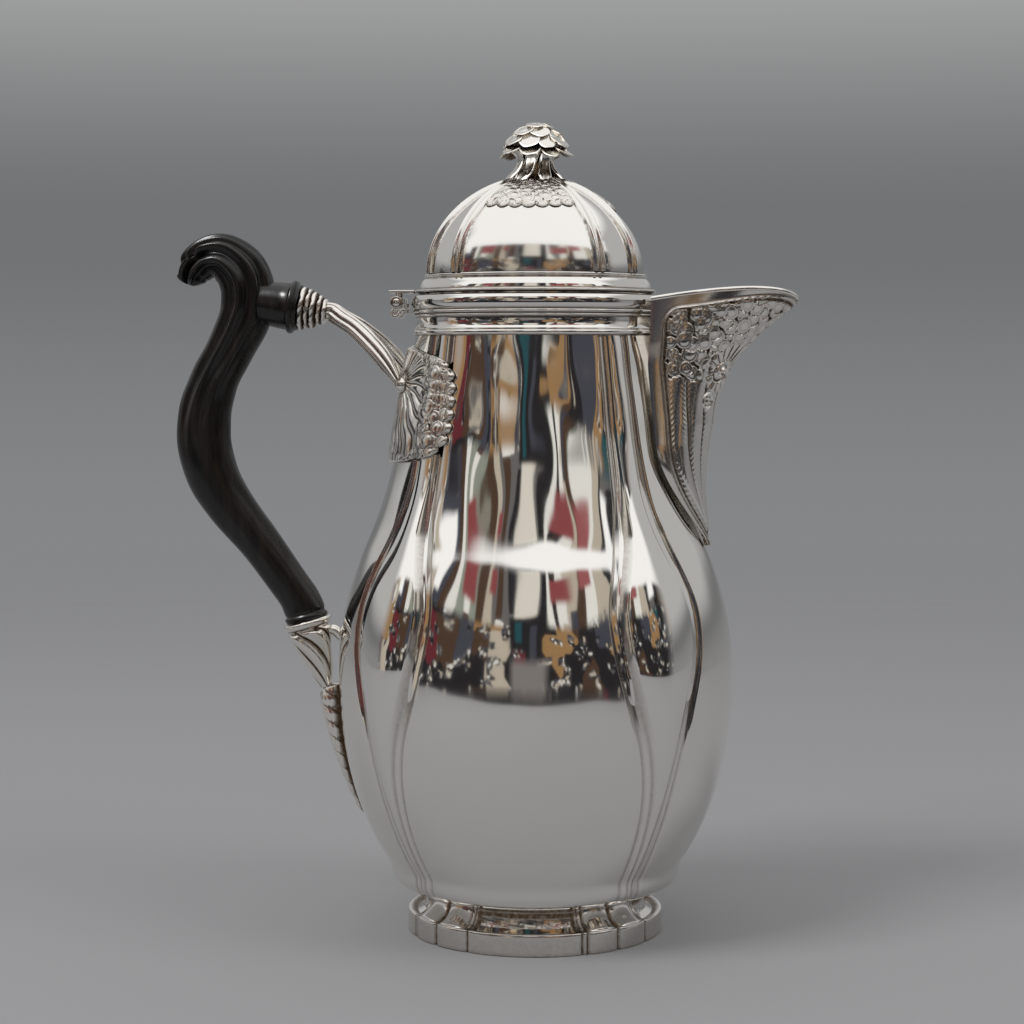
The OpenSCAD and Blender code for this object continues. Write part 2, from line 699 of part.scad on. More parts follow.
module hinge_body_leaf() {
    back_t = 1.4;
    leaf_low_z = rim_z + 0.8;
    seat = rim_r + seat_gap;
    color(SILVER)
        difference() {
            union() {
                for (side = [-1, 1]) {
                    from = side < 0 ? -barrel_len / 2 : knuckle / 2 + knuckle_gap;
                    along_y(from, from + knuckle - knuckle_gap, barrel_r);
                    translate([hinge_x, from, leaf_low_z])
                        cube([hinge_out, knuckle - knuckle_gap, hinge_z - leaf_low_z]);
                }
                translate([-seat - back_t, -barrel_len / 2, leaf_low_z])
                    cube([back_t + 1, barrel_len, hinge_z - leaf_low_z]);
            }
            translate([0, 0, rim_z - over])
                cylinder(r = seat, h = rim_h + 2 * over, $fn = 180);
            along_y(-barrel_len, barrel_len, bore_r);
        }
}

module hinge_lid_leaf() {
    plate_z = flange_z + 0.1;
    plate_len = 5;
    web = 2.6;
    half = knuckle / 2;
    color(SILVER)
        difference() {
            union() {
                along_y(-half, half, barrel_r);
                translate([hinge_x - web / 2, -half, hinge_z])
                    cube([web, 2 * half, plate_z + plate_t / 2 - hinge_z]);
                translate([hinge_x - barrel_r, -barrel_len / 2, plate_z])
                    cube([plate_len + barrel_r + 2, barrel_len, plate_t]);
            }
            translate([0, 0, plate_z - over])
                cylinder(r = flange_r + seat_gap / 2, h = plate_t + 2 * over, $fn = 180);
            along_y(-barrel_len, barrel_len, bore_r);
        }
}

module hinge_pin() {
    color(OLD_SILVER) along_y(-barrel_len / 2, barrel_len / 2, pin_r);
}

// Handle: an ebony grip swept along its middle line, with a turned boss and two tenons

// The pot's side behind the grip: a straight line from the body at the lower socket to the collar
function side_x(z) = -lerp(panel_r(cup_z), rim_r, max(0, min(1, (z - cup_z) / (boss_z - cup_z))));

// Middle line from the lower end to the scroll's tip: [distance from the pot's side, height, half width]
grip_line = [
    [cup_stand, cup_z, 6.6], [19.7, 110.4, 6.5], [33.8, 125.2, 6.9], [47.1, 138.3, 7.9],
    [54.7, 148.3, 8.7], [59.2, 158.4, 8.9], [60.8, 168.4, 8.5], [59.9, 177.9, 7.9],
    [57.1, 187.3, 7.8], [54.4, 197.3, 8.4], [53.8, 205.3, 8.8], [55.6, 212.4, 8.8],
    [61.2, 217.4, 7.8], [67.2, 217.4, 6.7], [71.6, 214.4, 5.2], [73.6, 210, 3.4]];
grip_points = [for (p = grip_line) [side_x(p[1]) - p[0], 0, p[1], p[2], p[2] * grip_flat]];
grip_rings = 60;
grip_sides = 20;

// Upper socket: where the boss ends, and the way its axis points
boss_end = [-rim_r - boss_stand, 0, boss_z];
boss_tilt = 8;
boss_len = 14;
module at_boss() {
    translate(boss_end)
        rotate([0, 90 + boss_tilt, 0])
            children();
}

// Lower socket: where the grip ends, and the way it runs into the cup
cup_top = [grip_points[0].x, 0, cup_z];
cup_tilt = 16;
module at_cup() {
    translate(cup_top)
        rotate([0, 180 - cup_tilt, 0])
            children();
}

// The grip leaves the cup along the cup's own axis for a short lead
grip_lead = 5;
grip = concat([grip_points[0]],
    [grip_points[0] + grip_lead * [-sin(cup_tilt), 0, cos(cup_tilt), 0, 0]],
    [for (i = [1 : len(grip_points) - 1]) grip_points[i]]);

upper_pin_at = 3;
lower_pin_at = 5;
pin_len_up = 2 * ferrule_r - 0.6;
pin_len_low = 2 * cup_r - 2;

module cross_pin(at, length, r) {
    translate([0, 0, at])
        rotate([90, 0, 0])
            translate([0, 0, -length / 2])
                cylinder(r = r, h = length, $fn = 24);
}

module handle() {
    color(EBONY)
        difference() {
            union() {
                smooth_tube(grip, grip_rings, grip_sides);
                at_boss() {
                    translate([0, 0, -boss_len])
                        cylinder(r = boss_r, h = boss_len);
                    translate([0, 0, -3])
                        cylinder(r = boss_r + boss_rim, h = 2);
                    cylinder(r = tenon_r, h = tenon_len);
                }
                at_cup() translate([0, 0, -6]) cylinder(r = foot_tenon_r, h = foot_tenon_len + 6);
            }
            at_boss() cross_pin(upper_pin_at, 2 * boss_r, cross_r + 0.05);
            at_cup() cross_pin(lower_pin_at, 2 * cup_r, cross_r + 0.05);
        }
}

// Four stepped rings that shrink towards the arm
module upper_ferrule() {
    steps = [[0, 1], [0.28, 0.9], [0.58, 0.74], [0.8, 0.58]];
    wire = 0.9;
    start = 0.1;
    color(OLD_SILVER)
        difference() {
            at_boss()
                for (i = [0 : 3])
                    translate([0, 0, start + steps[i][0] * ferrule_len]) {
                        next = i < 3 ? steps[i + 1][0] : 1;
                        cylinder(r = ferrule_r * steps[i][1] - 0.5, h = (next - steps[i][0]) * ferrule_len);
                        cylinder(r = ferrule_r * steps[i][1], h = wire);
                    }
            at_boss() {
                translate([0, 0, -over])
                    cylinder(r = tenon_r + tenon_clear, h = tenon_len + over + 0.3);
                cross_pin(upper_pin_at, 4 * ferrule_r, cross_r + 0.05);
            }
        }
}

module upper_pin() {
    color(SILVER) at_boss() cross_pin(upper_pin_at, pin_len_up, cross_r);
}

module lower_cup() {
    ring_h = 2;
    start = 0.15;
    socket = foot_tenon_r + tenon_clear;
    color(OLD_SILVER)
        difference() {
            at_cup() {
                translate([0, 0, start])
                    cylinder(r = cup_r, h = ring_h);
                translate([0, 0, start + ring_h])
                    cylinder(r1 = cup_r - 0.6, r2 = cup_tip_r, h = cup_len - ring_h - start);
            }
            at_cup() {
                translate([0, 0, -over])
                    cylinder(r = socket, h = foot_tenon_len + over + 0.3);
                cross_pin(lower_pin_at, 4 * cup_r, cross_r + 0.05);
            }
        }
}

module lower_pin() {
    color(SILVER) at_cup() cross_pin(lower_pin_at, pin_len_low - 3, cross_r);
}

// Fan plate: a shield of metal wrapped on the neck, thickest at its middle

function fan_edge(z) =
    let (s = (z - fan_low) / (fan_high - fan_low))
    lerp(fan_half_end, fan_half, (1 - (2 * s - 1) ^ 4) ^ 0.5);

function fan_face(t, z) =
    let (s = (z - fan_low) / (fan_high - fan_low),
        crown = (1 - t ^ 4) * (1 - (2 * s - 1) ^ 4))
    fan_rim + (fan_t - fan_rim) * crown;

module upper_mount() {
    rows = 14;
    cols = 32;
    function at(i, j, outer) =
        let (z = lerp(fan_low, fan_high, i / rows), t = 2 * j / cols - 1, a = 180 + t * fan_edge(z))
        polar(body_r(a, z) + seat_gap + (outer ? fan_face(t, z) : 0), a, z);
    color(SILVER)
        plate_solid([for (i = [0 : rows]) [for (j = [0 : cols]) at(i, j, true)]],
            [for (i = [0 : rows]) [for (j = [0 : cols]) at(i, j, false)]]);
}

// Forked arm: two strands leave the ferrule side by side and land on the fan plate

module arm(side) {
    strand_gap = 0.15;
    root = arm_half * 0.62;
    land_z = lerp(fan_low, fan_high, 0.7);
    thin = 1.7;
    lead = 1.6;
    boss_way = [cos(boss_tilt), 0, -sin(boss_tilt)];
    start = boss_end + (ferrule_len + 0.4) * boss_way;
    land_r = body_r(180 - arm_angle, land_z) + seat_gap + fan_t + thin + 0.25;
    finish = [-land_r * cos(arm_angle), side * land_r * sin(arm_angle), land_z];
    y0 = side * (root + strand_gap / 2);
    root_end = start + [0, y0, 0];
    // Points along the strand: how far across to the landing, how far down, and the half widths
    fork = [for (s = [[0.18, 0.10, 0.12, 1, 0.2], [0.37, 0.23, 0.3, 1, 0.5],
            [0.56, 0.41, 0.52, 1.05, 0.8], [0.73, 0.6, 0.72, 1.1, 1], [0.87, 0.79, 0.88, 1.1, 1],
            [1, 1, 1, 1, 1]])
        [lerp(start.x, finish.x, s[0]), lerp(y0, finish.y, s[2]), lerp(start.z, finish.z, s[1]),
            lerp(arm_half, thin, s[1] ^ 4) * s[3], lerp(root, arm_half * 0.95, s[4])]];
    // The strand leaves the ferrule along the ferrule's own axis
    lead_in = [for (d = [0, lead]) concat(root_end + d * boss_way, [arm_half, root])];
    color(SILVER) smooth_tube(concat(lead_in, fork), 20, 14);
}

module arm_front() {
    arm(-1);
}

module arm_back() {
    arm(1);
}

// Pendant leaf on the body below the socket, keeled along its middle
module lower_leaf() {
    rows = 16;
    cols = 10;
    edge_t = 0.7;
    function at(i, j, outer) =
        let (s = i / rows,
            t = 2 * j / cols - 1,
            z = leaf_low + leaf_len * s,
            half = leaf_half * (0.12 + 0.88 * sin(90 * min(s / 0.75, 1))) * (1 + 0.08 * cos(1440 * s)),
            a = 180 + t * half / panel_r(z) * 180 / PI,
            lift = edge_t + (leaf_rise - edge_t) * (1 - abs(t) ^ 1.6) * (0.12 + 0.88 * s ^ 1.2))
        polar(body_r(a, z) + seat_gap + (outer ? lift : 0), a, z);
    color(SILVER)
        plate_solid([for (i = [0 : rows]) [for (j = [0 : cols]) at(i, j, true)]],
            [for (i = [0 : rows]) [for (j = [0 : cols]) at(i, j, false)]]);
}

// Short strut that steadies the socket against the body
module lower_strut() {
    strut_z = cup_z - 3.5;
    reach = cup_stand / 2;
    color(SILVER)
        difference() {
            translate([-body_r(180, strut_z) - seat_gap - reach, 0, strut_z])
                rotate([0, 90, 0])
                    cylinder(r = strut_r, h = reach, $fn = 32);
            at_cup() translate([0, 0, -cup_len / 2]) cylinder(r = cup_r + seat_gap / 2, h = 1.5 * cup_len);
        }
}

body();
foot();
foot_bead();
neck_band();
rim_ring();
spout();
spout_lip();
spout_strainer();
lid_dome();
lid_rim();
lid_bezel();
lid_frieze();
finial_stem();
finial_blossom();
finial_stud();
finial_nut();
hinge_body_leaf();
hinge_lid_leaf();
hinge_pin();
handle();
upper_mount();
arm_front();
arm_back();
upper_ferrule();
upper_pin();
lower_cup();
lower_pin();
lower_leaf();
lower_strut();
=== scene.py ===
"""Silver coffee pot with an ebony side handle, a beak spout and a hinged domed lid.

The shape functions work in millimetres and degrees, and the meshes are scaled to metres as they are made.
The sections follow the pot as it is put together, from the foot up, and the studio comes last.
"""

import bmesh
import bpy
import numpy as np
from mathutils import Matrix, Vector


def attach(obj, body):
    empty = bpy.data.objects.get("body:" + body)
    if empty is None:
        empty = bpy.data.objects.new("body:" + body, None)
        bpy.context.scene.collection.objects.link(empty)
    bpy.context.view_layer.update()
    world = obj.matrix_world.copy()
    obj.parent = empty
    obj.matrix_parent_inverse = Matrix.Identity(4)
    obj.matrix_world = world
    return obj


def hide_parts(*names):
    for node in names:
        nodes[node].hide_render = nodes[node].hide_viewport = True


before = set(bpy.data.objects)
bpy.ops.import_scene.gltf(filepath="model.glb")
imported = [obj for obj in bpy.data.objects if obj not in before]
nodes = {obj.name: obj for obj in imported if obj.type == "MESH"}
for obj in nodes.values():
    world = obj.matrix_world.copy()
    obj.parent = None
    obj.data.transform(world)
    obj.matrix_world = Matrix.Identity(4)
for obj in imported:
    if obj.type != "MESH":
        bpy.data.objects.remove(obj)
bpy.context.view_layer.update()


# Foot
# A cast silver ring that carries the pot: an upright wall in twelve segments and a hollow shoulder with four
# sunk panels between pairs of swelling fans. It is open underneath and soldered to the body over a wire ring.
MM = 0.001
foot_r, foot_wall_h = 41.3, 7.0
foot_top_r, foot_h = 35.6, 13.6
foot_t, foot_flange = 1.6, 4.0
panel_half = 27.5
panel_sunk, panel_border, panel_bevel = 1.9, 1.7, 1.3
fillet_w, fillet_groove, seam_groove = 0.95, 0.55, 0.6
fan_puff = 1.5
bead_h = 1.3


def sin(angle):
    """Sine of an angle in degrees."""
    return np.sin(np.radians(angle))


def cos(angle):
    """Cosine of an angle in degrees."""
    return np.cos(np.radians(angle))


def lerp(a, b, t):
    """Straight blend from a to b as t goes from 0 to 1."""
    return a + (b - a) * t


def ease(low, high, x):
    """Smooth step: 0 below low, 1 above high, with a cubic between them; low may be the larger."""
    t = np.clip((x - low) / (high - low), 0, 1)
    return t * t * (3 - 2 * t)


def bell(x, spread):
    """Bell curve of height 1: e to the power of minus x squared over twice the spread squared."""
    return np.exp(-x * x / (2 * spread * spread))


def circle(steps):
    """Angles spaced evenly once round, from 0."""
    return np.arange(steps) * 360 / steps


def arc_length(angle, r):
    """Length of an arc: its angle in radians times its radius."""
    return angle * np.radians(1) * r


def polar(r, angle, z):
    """Points at radius r and an angle round the pot's axis, at height z."""
    r, angle, z = np.broadcast_arrays(r, angle, z)
    return np.stack([r * cos(angle), r * sin(angle), z], -1).astype(float)


def spun(outline, steps=96):
    """Turns an outline of [radius, height] points round the pot's axis."""
    outline = np.array(outline, float)
    return polar(outline[:, :1], circle(steps), outline[:, 1:])


def turned(profile, steps=192):
    """Turns a closed outline, whose last point joins its first."""
    return spun(profile + profile[:1], steps)


def arc(centre_r, centre_z, radius_r, radius_z, start, end, steps=12):
    """Points of an elliptical arc in an outline, from one angle to another in degrees."""
    angles = np.linspace(start, end, steps)
    return [[centre_r + radius_r * cos(a), centre_z + radius_z * sin(a)] for a in angles]


def solid(name, sheets, material):
    """One smooth closed mesh from grids of points in millimetres.

    A sheet is an array of rows by columns, whose last column joins its first, and it may come as a pair with
    a mask that says how far each point is darkened: in hollows that is tarnished silver, under and between
    parts it is painted shade. Rows that end in one point, or that fold onto themselves, are closed by merging
    the points that fall together.
    """
    merge_within, sliver, sharp_angle = 2e-7, 1e-8, 50
    points, hollows, faces = [], [], []
    start = 0
    for sheet in sheets:
        grid, hollow = sheet if isinstance(sheet, tuple) else (sheet, 0.0)
        rows, cols = grid.shape[:2]
        i, j = np.meshgrid(np.arange(rows - 1), np.arange(cols), indexing="ij")
        k = (j + 1) % cols
        quads = np.stack([i * cols + j, i * cols + k, (i + 1) * cols + k, (i + 1) * cols + j], -1)
        points.append(grid.reshape(-1, 3))
        hollows.append(np.clip(np.broadcast_to(hollow, (rows, cols)), 0, 1).reshape(-1))
        faces.append(quads.reshape(-1, 4) + start)
        start += rows * cols
    points = np.concatenate(points) * MM
    faces = np.concatenate(faces)
    mesh = bpy.data.meshes.new(name)
    mesh.vertices.add(len(points))
    mesh.vertices.foreach_set("co", points.astype(np.float32).ravel())
    mesh.loops.add(faces.size)
    mesh.loops.foreach_set("vertex_index", faces.astype(np.int32).ravel())
    mesh.polygons.add(len(faces))
    mesh.polygons.foreach_set("loop_start", np.arange(0, faces.size, 4, dtype=np.int32))
    mesh.update(calc_edges=True)
    mask = mesh.attributes.new("hollow", "FLOAT", "POINT")
    mask.data.foreach_set("value", np.concatenate(hollows).astype(np.float32))
    work = bmesh.new()
    work.from_mesh(mesh)
    bmesh.ops.remove_doubles(work, verts=work.verts, dist=merge_within)
    bmesh.ops.dissolve_degenerate(work, edges=work.edges, dist=sliver)
    bmesh.ops.recalc_face_normals(work, faces=work.faces)
    work.to_mesh(mesh)
    work.free()
    mesh.polygons.foreach_set("use_smooth", np.ones(len(mesh.polygons), bool))
    mesh.set_sharp_from_angle(angle=np.radians(sharp_angle))
    mesh.materials.append(material)
    piece = bpy.data.objects.new(name, mesh)
    bpy.context.scene.collection.objects.link(piece)
    return piece


def fitted(name, sheets, material, body, node):
    """A piece of the pot: its mesh with its material, attached to the body that it rides on, and the node
    that it stands for hidden."""
    piece = solid(name, sheets, material)
    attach(piece, body)
    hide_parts(node)
    return piece


def plug(tree, socket, value):
    """Feeds a socket from another socket, or sets it to a plain number or colour."""
    if isinstance(value, bpy.types.NodeSocket):
        tree.links.new(value, socket)
    elif isinstance(value, tuple):
        socket.default_value = (*value, 1)
    else:
        socket.default_value = value


def math_node(tree, operation, first, second=0.0):
    """Math node fed by sockets or plain numbers; returns its output."""
    node = tree.nodes.new("ShaderNodeMath")
    node.operation = operation
    plug(tree, node.inputs[0], first)
    plug(tree, node.inputs[1], second)
    return node.outputs[0]


def mix_node(tree, under, over, mask):
    """Lays one colour over another by a mask; returns the mixed colour."""
    mix = tree.nodes.new("ShaderNodeMix")
    mix.data_type = "RGBA"
    plug(tree, mix.inputs["Factor"], mask)
    plug(tree, mix.inputs["A"], under)
    plug(tree, mix.inputs["B"], over)
    return mix.outputs["Result"]


def noise_node(tree, vector, scale, detail, stretch=(1.0, 1.0, 1.0)):
    """Noise of a given scale per metre on stretched coordinates; returns its value output."""
    mapping = tree.nodes.new("ShaderNodeMapping")
    mapping.inputs["Scale"].default_value = stretch
    tree.links.new(vector, mapping.inputs["Vector"])
    noise = tree.nodes.new("ShaderNodeTexNoise")
    noise.inputs["Scale"].default_value = scale
    noise.inputs["Detail"].default_value = detail
    tree.links.new(mapping.outputs[0], noise.inputs["Vector"])
    return noise.outputs["Fac"]


def bump_node(tree, height, strength, distance):
    """Bump from a height; returns the normal."""
    bump = tree.nodes.new("ShaderNodeBump")
    bump.inputs["Strength"].default_value = strength
    bump.inputs["Distance"].default_value = distance
    tree.links.new(height, bump.inputs["Height"])
    return bump.outputs["Normal"]


def group_node(tree, group, **values):
    """Puts a node group into a tree and sets its inputs; returns its outputs."""
    node = tree.nodes.new("ShaderNodeGroup")
    node.node_tree = group
    for label, value in values.items():
        node.inputs[label].default_value = value
    return node.outputs


def new_group(name, inputs, outputs):
    """Empty shader node group with float sockets, and its two end nodes."""
    group = bpy.data.node_groups.new(name, "ShaderNodeTree")
    for label, value in inputs.items():
        socket = group.interface.new_socket(label, in_out="INPUT", socket_type="NodeSocketFloat")
        socket.default_value = value
    for label in outputs:
        group.interface.new_socket(label, in_out="OUTPUT", socket_type="NodeSocketFloat")
    return group, group.nodes.new("NodeGroupInput"), group.nodes.new("NodeGroupOutput")


def new_material(name):
    """Empty material, its node tree and its shader."""
    material = bpy.data.materials.new(name)
    material.use_nodes = True
    return material, material.node_tree, material.node_tree.nodes["Principled BSDF"]


def object_place(tree):
    """Each point's place in its object, in metres."""
    return tree.nodes.new("ShaderNodeTexCoord").outputs["Object"]


def hairline_group():
    """Fine scratches of polishing and use: two noises drawn out along the height and round the pot,
    and a cloudy one that says where the metal was rubbed more."""
    group, start, end = new_group("polishing_hairlines", {"Strength": 1.0}, ["Rubbed", "Height"])
    place = object_place(group)
    upright = noise_node(group, place, 2600, 2, (1.0, 1.0, 0.02))
    level = noise_node(group, place, 2600, 2, (0.04, 0.04, 1.0))
    cloud = noise_node(group, place, 60, 4)
    lines = math_node(group, "ADD", upright, level)
    worn = math_node(group, "MULTIPLY", lines, cloud)
    rubbed = math_node(group, "MULTIPLY", worn, start.outputs["Strength"])
    group.links.new(rubbed, end.inputs["Rubbed"])
    group.links.new(math_node(group, "MULTIPLY", lines, start.outputs["Strength"]), end.inputs["Height"])
    return group


def tarnish_and_shade_group():
    """Brown sulphide left where a cloth can't reach, and painted shade under and between parts: the mesh's
    own hollow mask, which carries both, broken up by noise, and a thin cloudy bloom over the open faces."""
    group, start, end = new_group("hollow_tarnish_and_shade", {"Depth": 1.0, "Bloom": 0.05}, ["Mask"])
    place = object_place(group)
    hollow = group.nodes.new("ShaderNodeAttribute")
    hollow.attribute_name = "hollow"
    grains = noise_node(group, place, 900, 3)
    cloud = noise_node(group, place, 45, 3)
    deep = math_node(group, "MULTIPLY", hollow.outputs["Fac"], math_node(group, "ADD", grains, 0.45))
    deep = math_node(group, "MULTIPLY", deep, start.outputs["Depth"])
    bloom = math_node(group, "MULTIPLY", cloud, start.outputs["Bloom"])
    mask = math_node(group, "MINIMUM", math_node(group, "ADD", deep, bloom), 1.0)
    group.links.new(mask, end.inputs["Mask"])
    return group


hairlines = hairline_group()
tarnish_and_shade = tarnish_and_shade_group()


def silver(name, colour, stain_and_shade, roughness, rubbed, depth, bloom, scratch):
    """Silver of one finish: its colour goes to a brown where the mask says, tarnished silver in hollows and
    painted shade under and between parts, and hairlines roughen and mark it.
    """
    material, tree, shader = new_material(name)
    shader.inputs["Metallic"].default_value = 1.0
    marks = group_node(tree, hairlines)
    mask = group_node(tree, tarnish_and_shade, Depth=depth, Bloom=bloom)["Mask"]
    tree.links.new(mix_node(tree, colour, stain_and_shade, mask), shader.inputs["Base Color"])
    rough = math_node(tree, "ADD", math_node(tree, "MULTIPLY", marks["Rubbed"], rubbed), roughness)
    dull = math_node(tree, "MULTIPLY", mask, 0.3)
    tree.links.new(math_node(tree, "ADD", rough, dull), shader.inputs["Roughness"])
    tree.links.new(bump_node(tree, marks["Height"], 0.6, scratch), shader.inputs["Normal"])
    return material


# The brown is tarnished silver in the mask's hollows, and painted shade where the mask darkens under and
# between parts.
bright, brown_stain_and_shade = (0.93, 0.908, 0.868), (0.17, 0.11, 0.06)
polished_silver = silver("polished_silver", bright, brown_stain_and_shade, roughness=0.03, rubbed=0.05, depth=0.95,
                         bloom=0.05, scratch=2e-7)


def foot_shape():
    """Loops up the wall, over the shoulder and back down inside.

    The wall's radius dips in narrow grooves between the segments. The shoulder is a quarter hollow from the
    wall's top in and up to the seat; the wide panels sink in behind a bevelled border, the fans swell out.
    """
    side = np.linspace(-1, 1, 72, endpoint=False)
    panel = panel_half * np.sign(side) * (1 - (1 - np.abs(side)) ** 1.5)
    fan = 45 - panel_half
    fan_steps = fan * np.arange(28) / 28
    quarter = np.concatenate([panel, panel_half + fan_steps, 45 + fan_steps])
    local = np.tile(quarter, 4)
    angle = local + np.repeat(90 * np.arange(4), len(quarter))
    from_end = arc_length(panel_half - np.abs(local), foot_r)
    from_seam = arc_length(45 - local, foot_r)
    in_panel = from_end >= 0
    groove = fillet_groove * bell(np.abs(from_end) - fillet_w, 0.28) + seam_groove * bell(from_seam, 0.35)
    across = np.where(in_panel, local / panel_half, np.abs(2 * (np.abs(local - 45) / fan) - 1))
    dip = groove + np.where(in_panel, 0.35 * np.abs(across) ** 5, 0.5 * np.abs(across) ** 3)
    upright = np.linspace(0.6, foot_wall_h - 0.5, 8)
    wall_z = np.array([0.0, 0.25, *upright, foot_wall_h - 0.15])[:, None]
    softened = np.array([0.35, 0.0, *np.zeros(8), 0.12])[:, None]
    wall = polar(foot_r - softened - dip, angle, wall_z)

    share = np.linspace(0, 1, 44)[:, None]
    slope = 90 * share
    low_r = foot_r - 0.25 - (foot_r - foot_top_r) * sin(slope) - dip * (1 - 0.6 * share)
    low_z = foot_wall_h + (foot_h - foot_wall_h) * (1 - cos(slope))
    inset = np.minimum(from_end - panel_border, np.minimum(share - 0.1, 0.9 - share) * 9)
    ripple = 0.09 * np.sin(1.1 * local + 9 * share) * np.sin(0.37 * local - 21 * share)
    sunk = (panel_sunk + ripple) * ease(0, panel_bevel, inset) * in_panel
    line = 0.3 * bell(share - 0.95, 0.02) * ease(1.2, 2.2, from_end) * in_panel
    puff = fan_puff * (1 - across ** 2) * sin(180 * share ** 0.75) * np.minimum(share / 0.12, 1) * ~in_panel
    push = puff - sunk - line
    shoulder = polar(low_r + push * cos(slope) * 0.75, angle, low_z + push * sin(90 - slope) * 0.65)

    inner_z = np.array([foot_h, foot_h, foot_h - foot_t, foot_wall_h + 2.0, foot_wall_h - 1.0, 0.25, 0.0])
    inner_r = np.array([foot_top_r, foot_top_r - foot_flange, foot_top_r - foot_flange, foot_top_r - 1.2,
                        foot_r - foot_t - 1.0, foot_r - foot_t - 0.9, foot_r - foot_t - 0.6])
    inside = polar(inner_r[:, None], angle, inner_z[:, None])

    # The wall darkens a little all over, more in its grooves and towards its bottom edge; the shoulder
    # darkens in its hollows and more towards its top, under the bead.
    wall_darkening = 0.27 + 1.6 * groove + 0.3 * ease(1.2, 0, wall_z)
    seams = 0.8 * ease(0.72, 1, np.abs(across)) * ~in_panel
    hollows = (0.25 * ease(0.3, 1.4, sunk) + bell(inset - 0.7, 0.45) * in_panel + 2.6 * line + groove * 1.6
               + seams)
    shoulder_darkening = np.clip(hollows + 0.1, 0, 1) + 0.4 * ease(0.75, 1, share)
    clean = np.zeros((len(inside) + 1, len(angle)))
    sheet = np.concatenate([wall, shoulder, inside, wall[:1]])
    return sheet, np.concatenate([wall_darkening, shoulder_darkening, clean])


fitted("foot_ring", [foot_shape()], polished_silver, "pot", "foot")

foot_wire_outline = (arc(foot_top_r, foot_h + bead_h / 2, bead_h / 2, bead_h / 2, -90, 90)
                     + [[foot_top_r - foot_flange, foot_h + bead_h], [foot_top_r - foot_flange, foot_h]])
fitted("foot_wire", [turned(foot_wire_outline)], polished_silver, "pot", "foot_bead")


# Body
# A raised silver vessel, hammered up from sheet and planished: four wide panels on the axes and four narrow
# lobes on the diagonals, parted by narrow coves that run out into paired lines near the foot.
wall_t = 1.0
base_z, belly_z, neck_z = foot_h + bead_h, 87.0, 192.2
crease_d = 1.8
lobe_z, lobe_half, lobe_swell = 106.0, 15.0, 1.3
lobe_half_neck, lobe_half_foot = 6.5, 3.0
lobe_reach_up, lobe_reach_down = 15.0, 26.0
swell_foot, swell_low, swell_high, swell_end = 36, 75, 125, 150
cove_half, cove_d, cove_share = 3.5, 1.3, 0.45
line_gap, line_w, line_d = 1.5, 0.42, 0.36
lines_below, coves_above = 62, 88
hammer_mark, hammer_low, hammer_high = 0.011, 84, 135
window_low, window_high, window_half = 153.0, 181.0, 14.0

# Foot, heel, belly, shoulder and neck: the height, the radius and the slope of the side there
stations = [(base_z, 42.4, 2.2), (23.2, 47.6, 0.66), (belly_z, 63.6, 0), (124.4, 54.8, -0.46),
            (neck_z, 38.4, -0.16)]


def cubic(start, finish, z):
    """Cubic between two stations that keeps the height, the radius and the slope of both."""
    z0, r0, slope0 = start
    z1, r1, slope1 = finish
    span = z1 - z0
    t = (z - z0) / span
    return ((2 * t ** 3 - 3 * t ** 2 + 1) * r0 + (t ** 3 - 2 * t ** 2 + t) * span * slope0
            + (3 * t ** 2 - 2 * t ** 3) * r1 + (t ** 3 - t ** 2) * span * slope1)


def panel_r(z):
    """Radius at the middle of a wide panel: cubics that meet smoothly at the stations."""
    z = np.asarray(z, float)
    pieces = [cubic(start, finish, z) for start, finish in zip(stations, stations[1:])]
    return np.select([z < station[0] for station in stations[1:-1]], pieces[:-1], pieces[-1])


def from_axis(angle):
    """How far an angle lies from the middle of the nearest wide panel."""
    return np.abs((angle + 45) % 90 - 45)


def lobe_at(z):
    """Half angle of a narrow lobe: a bell over the height, wider above the foot than towards the neck."""
    above = lobe_half_neck + (lobe_half - lobe_half_neck) * bell(z - lobe_z, lobe_reach_up)
    below = lobe_half_foot + (lobe_half - lobe_half_foot) * bell(z - lobe_z, lobe_reach_down)
    return np.where(z > lobe_z, above, below)


def body_r(angle, z):
    """Radius of the body: the panel's radius less a parabola towards each crease, and a lower one on a
    lobe."""
    away = from_axis(angle)
    half = lobe_at(z)
    edge = 45 - half
    depth = crease_d * (0.45 + 0.55 * bell(z - belly_z, 45))
    on_panel = depth * (away / edge) ** 2
    on_lobe = depth * (1 - (0.3 + 0.4 * half / lobe_half) * (1 - ((45 - away) / half) ** 2))
    return panel_r(z) - np.where(away <= edge, on_panel, on_lobe)


def planished(angle, z):
    """Waves that hammering leaves: a sum of crossed sine waves, each with its count round the pot, its run up
    the height and its phase. They are faint at the foot and stronger in the neck, where the sheet was drawn
    in."""
    waves = [(7, 0.11, 0.3), (11, -0.19, 1.7), (17, 0.13, 4.1), (5, 0.31, 2.6), (23, -0.07, 5.2),
             (29, 0.09, 0.9)]
    sway = sum(np.sin(count * np.radians(angle) + run * z + phase) for count, run, phase in waves)
    return hammer_mark * lerp(1, 4.5, ease(hammer_low, hammer_high, z)) * sway


def body_columns(z):
    """Angles round each loop, with columns kept close together in the coves and at the edges of the lobes."""
    half = lobe_at(z)[:, None]
    cove = np.minimum(np.degrees(cove_half / panel_r(z))[:, None], cove_share * half)
    edge = 45 - half
    panel = np.sin(np.linspace(-1, 1, 56, endpoint=False) * np.pi / 2)[None, :] * (edge - cove)
    across = np.linspace(-1, 1, 16, endpoint=False)[None, :]
    lobe = np.sin(np.linspace(-1, 1, 28, endpoint=False) * np.pi / 2)[None, :]
    quarter = np.concatenate([panel, edge + cove * across, 45 + lobe * (half - cove),
                              90 - edge + cove * across], 1)
    return np.concatenate([quarter + 90 * k for k in range(4)], 1)


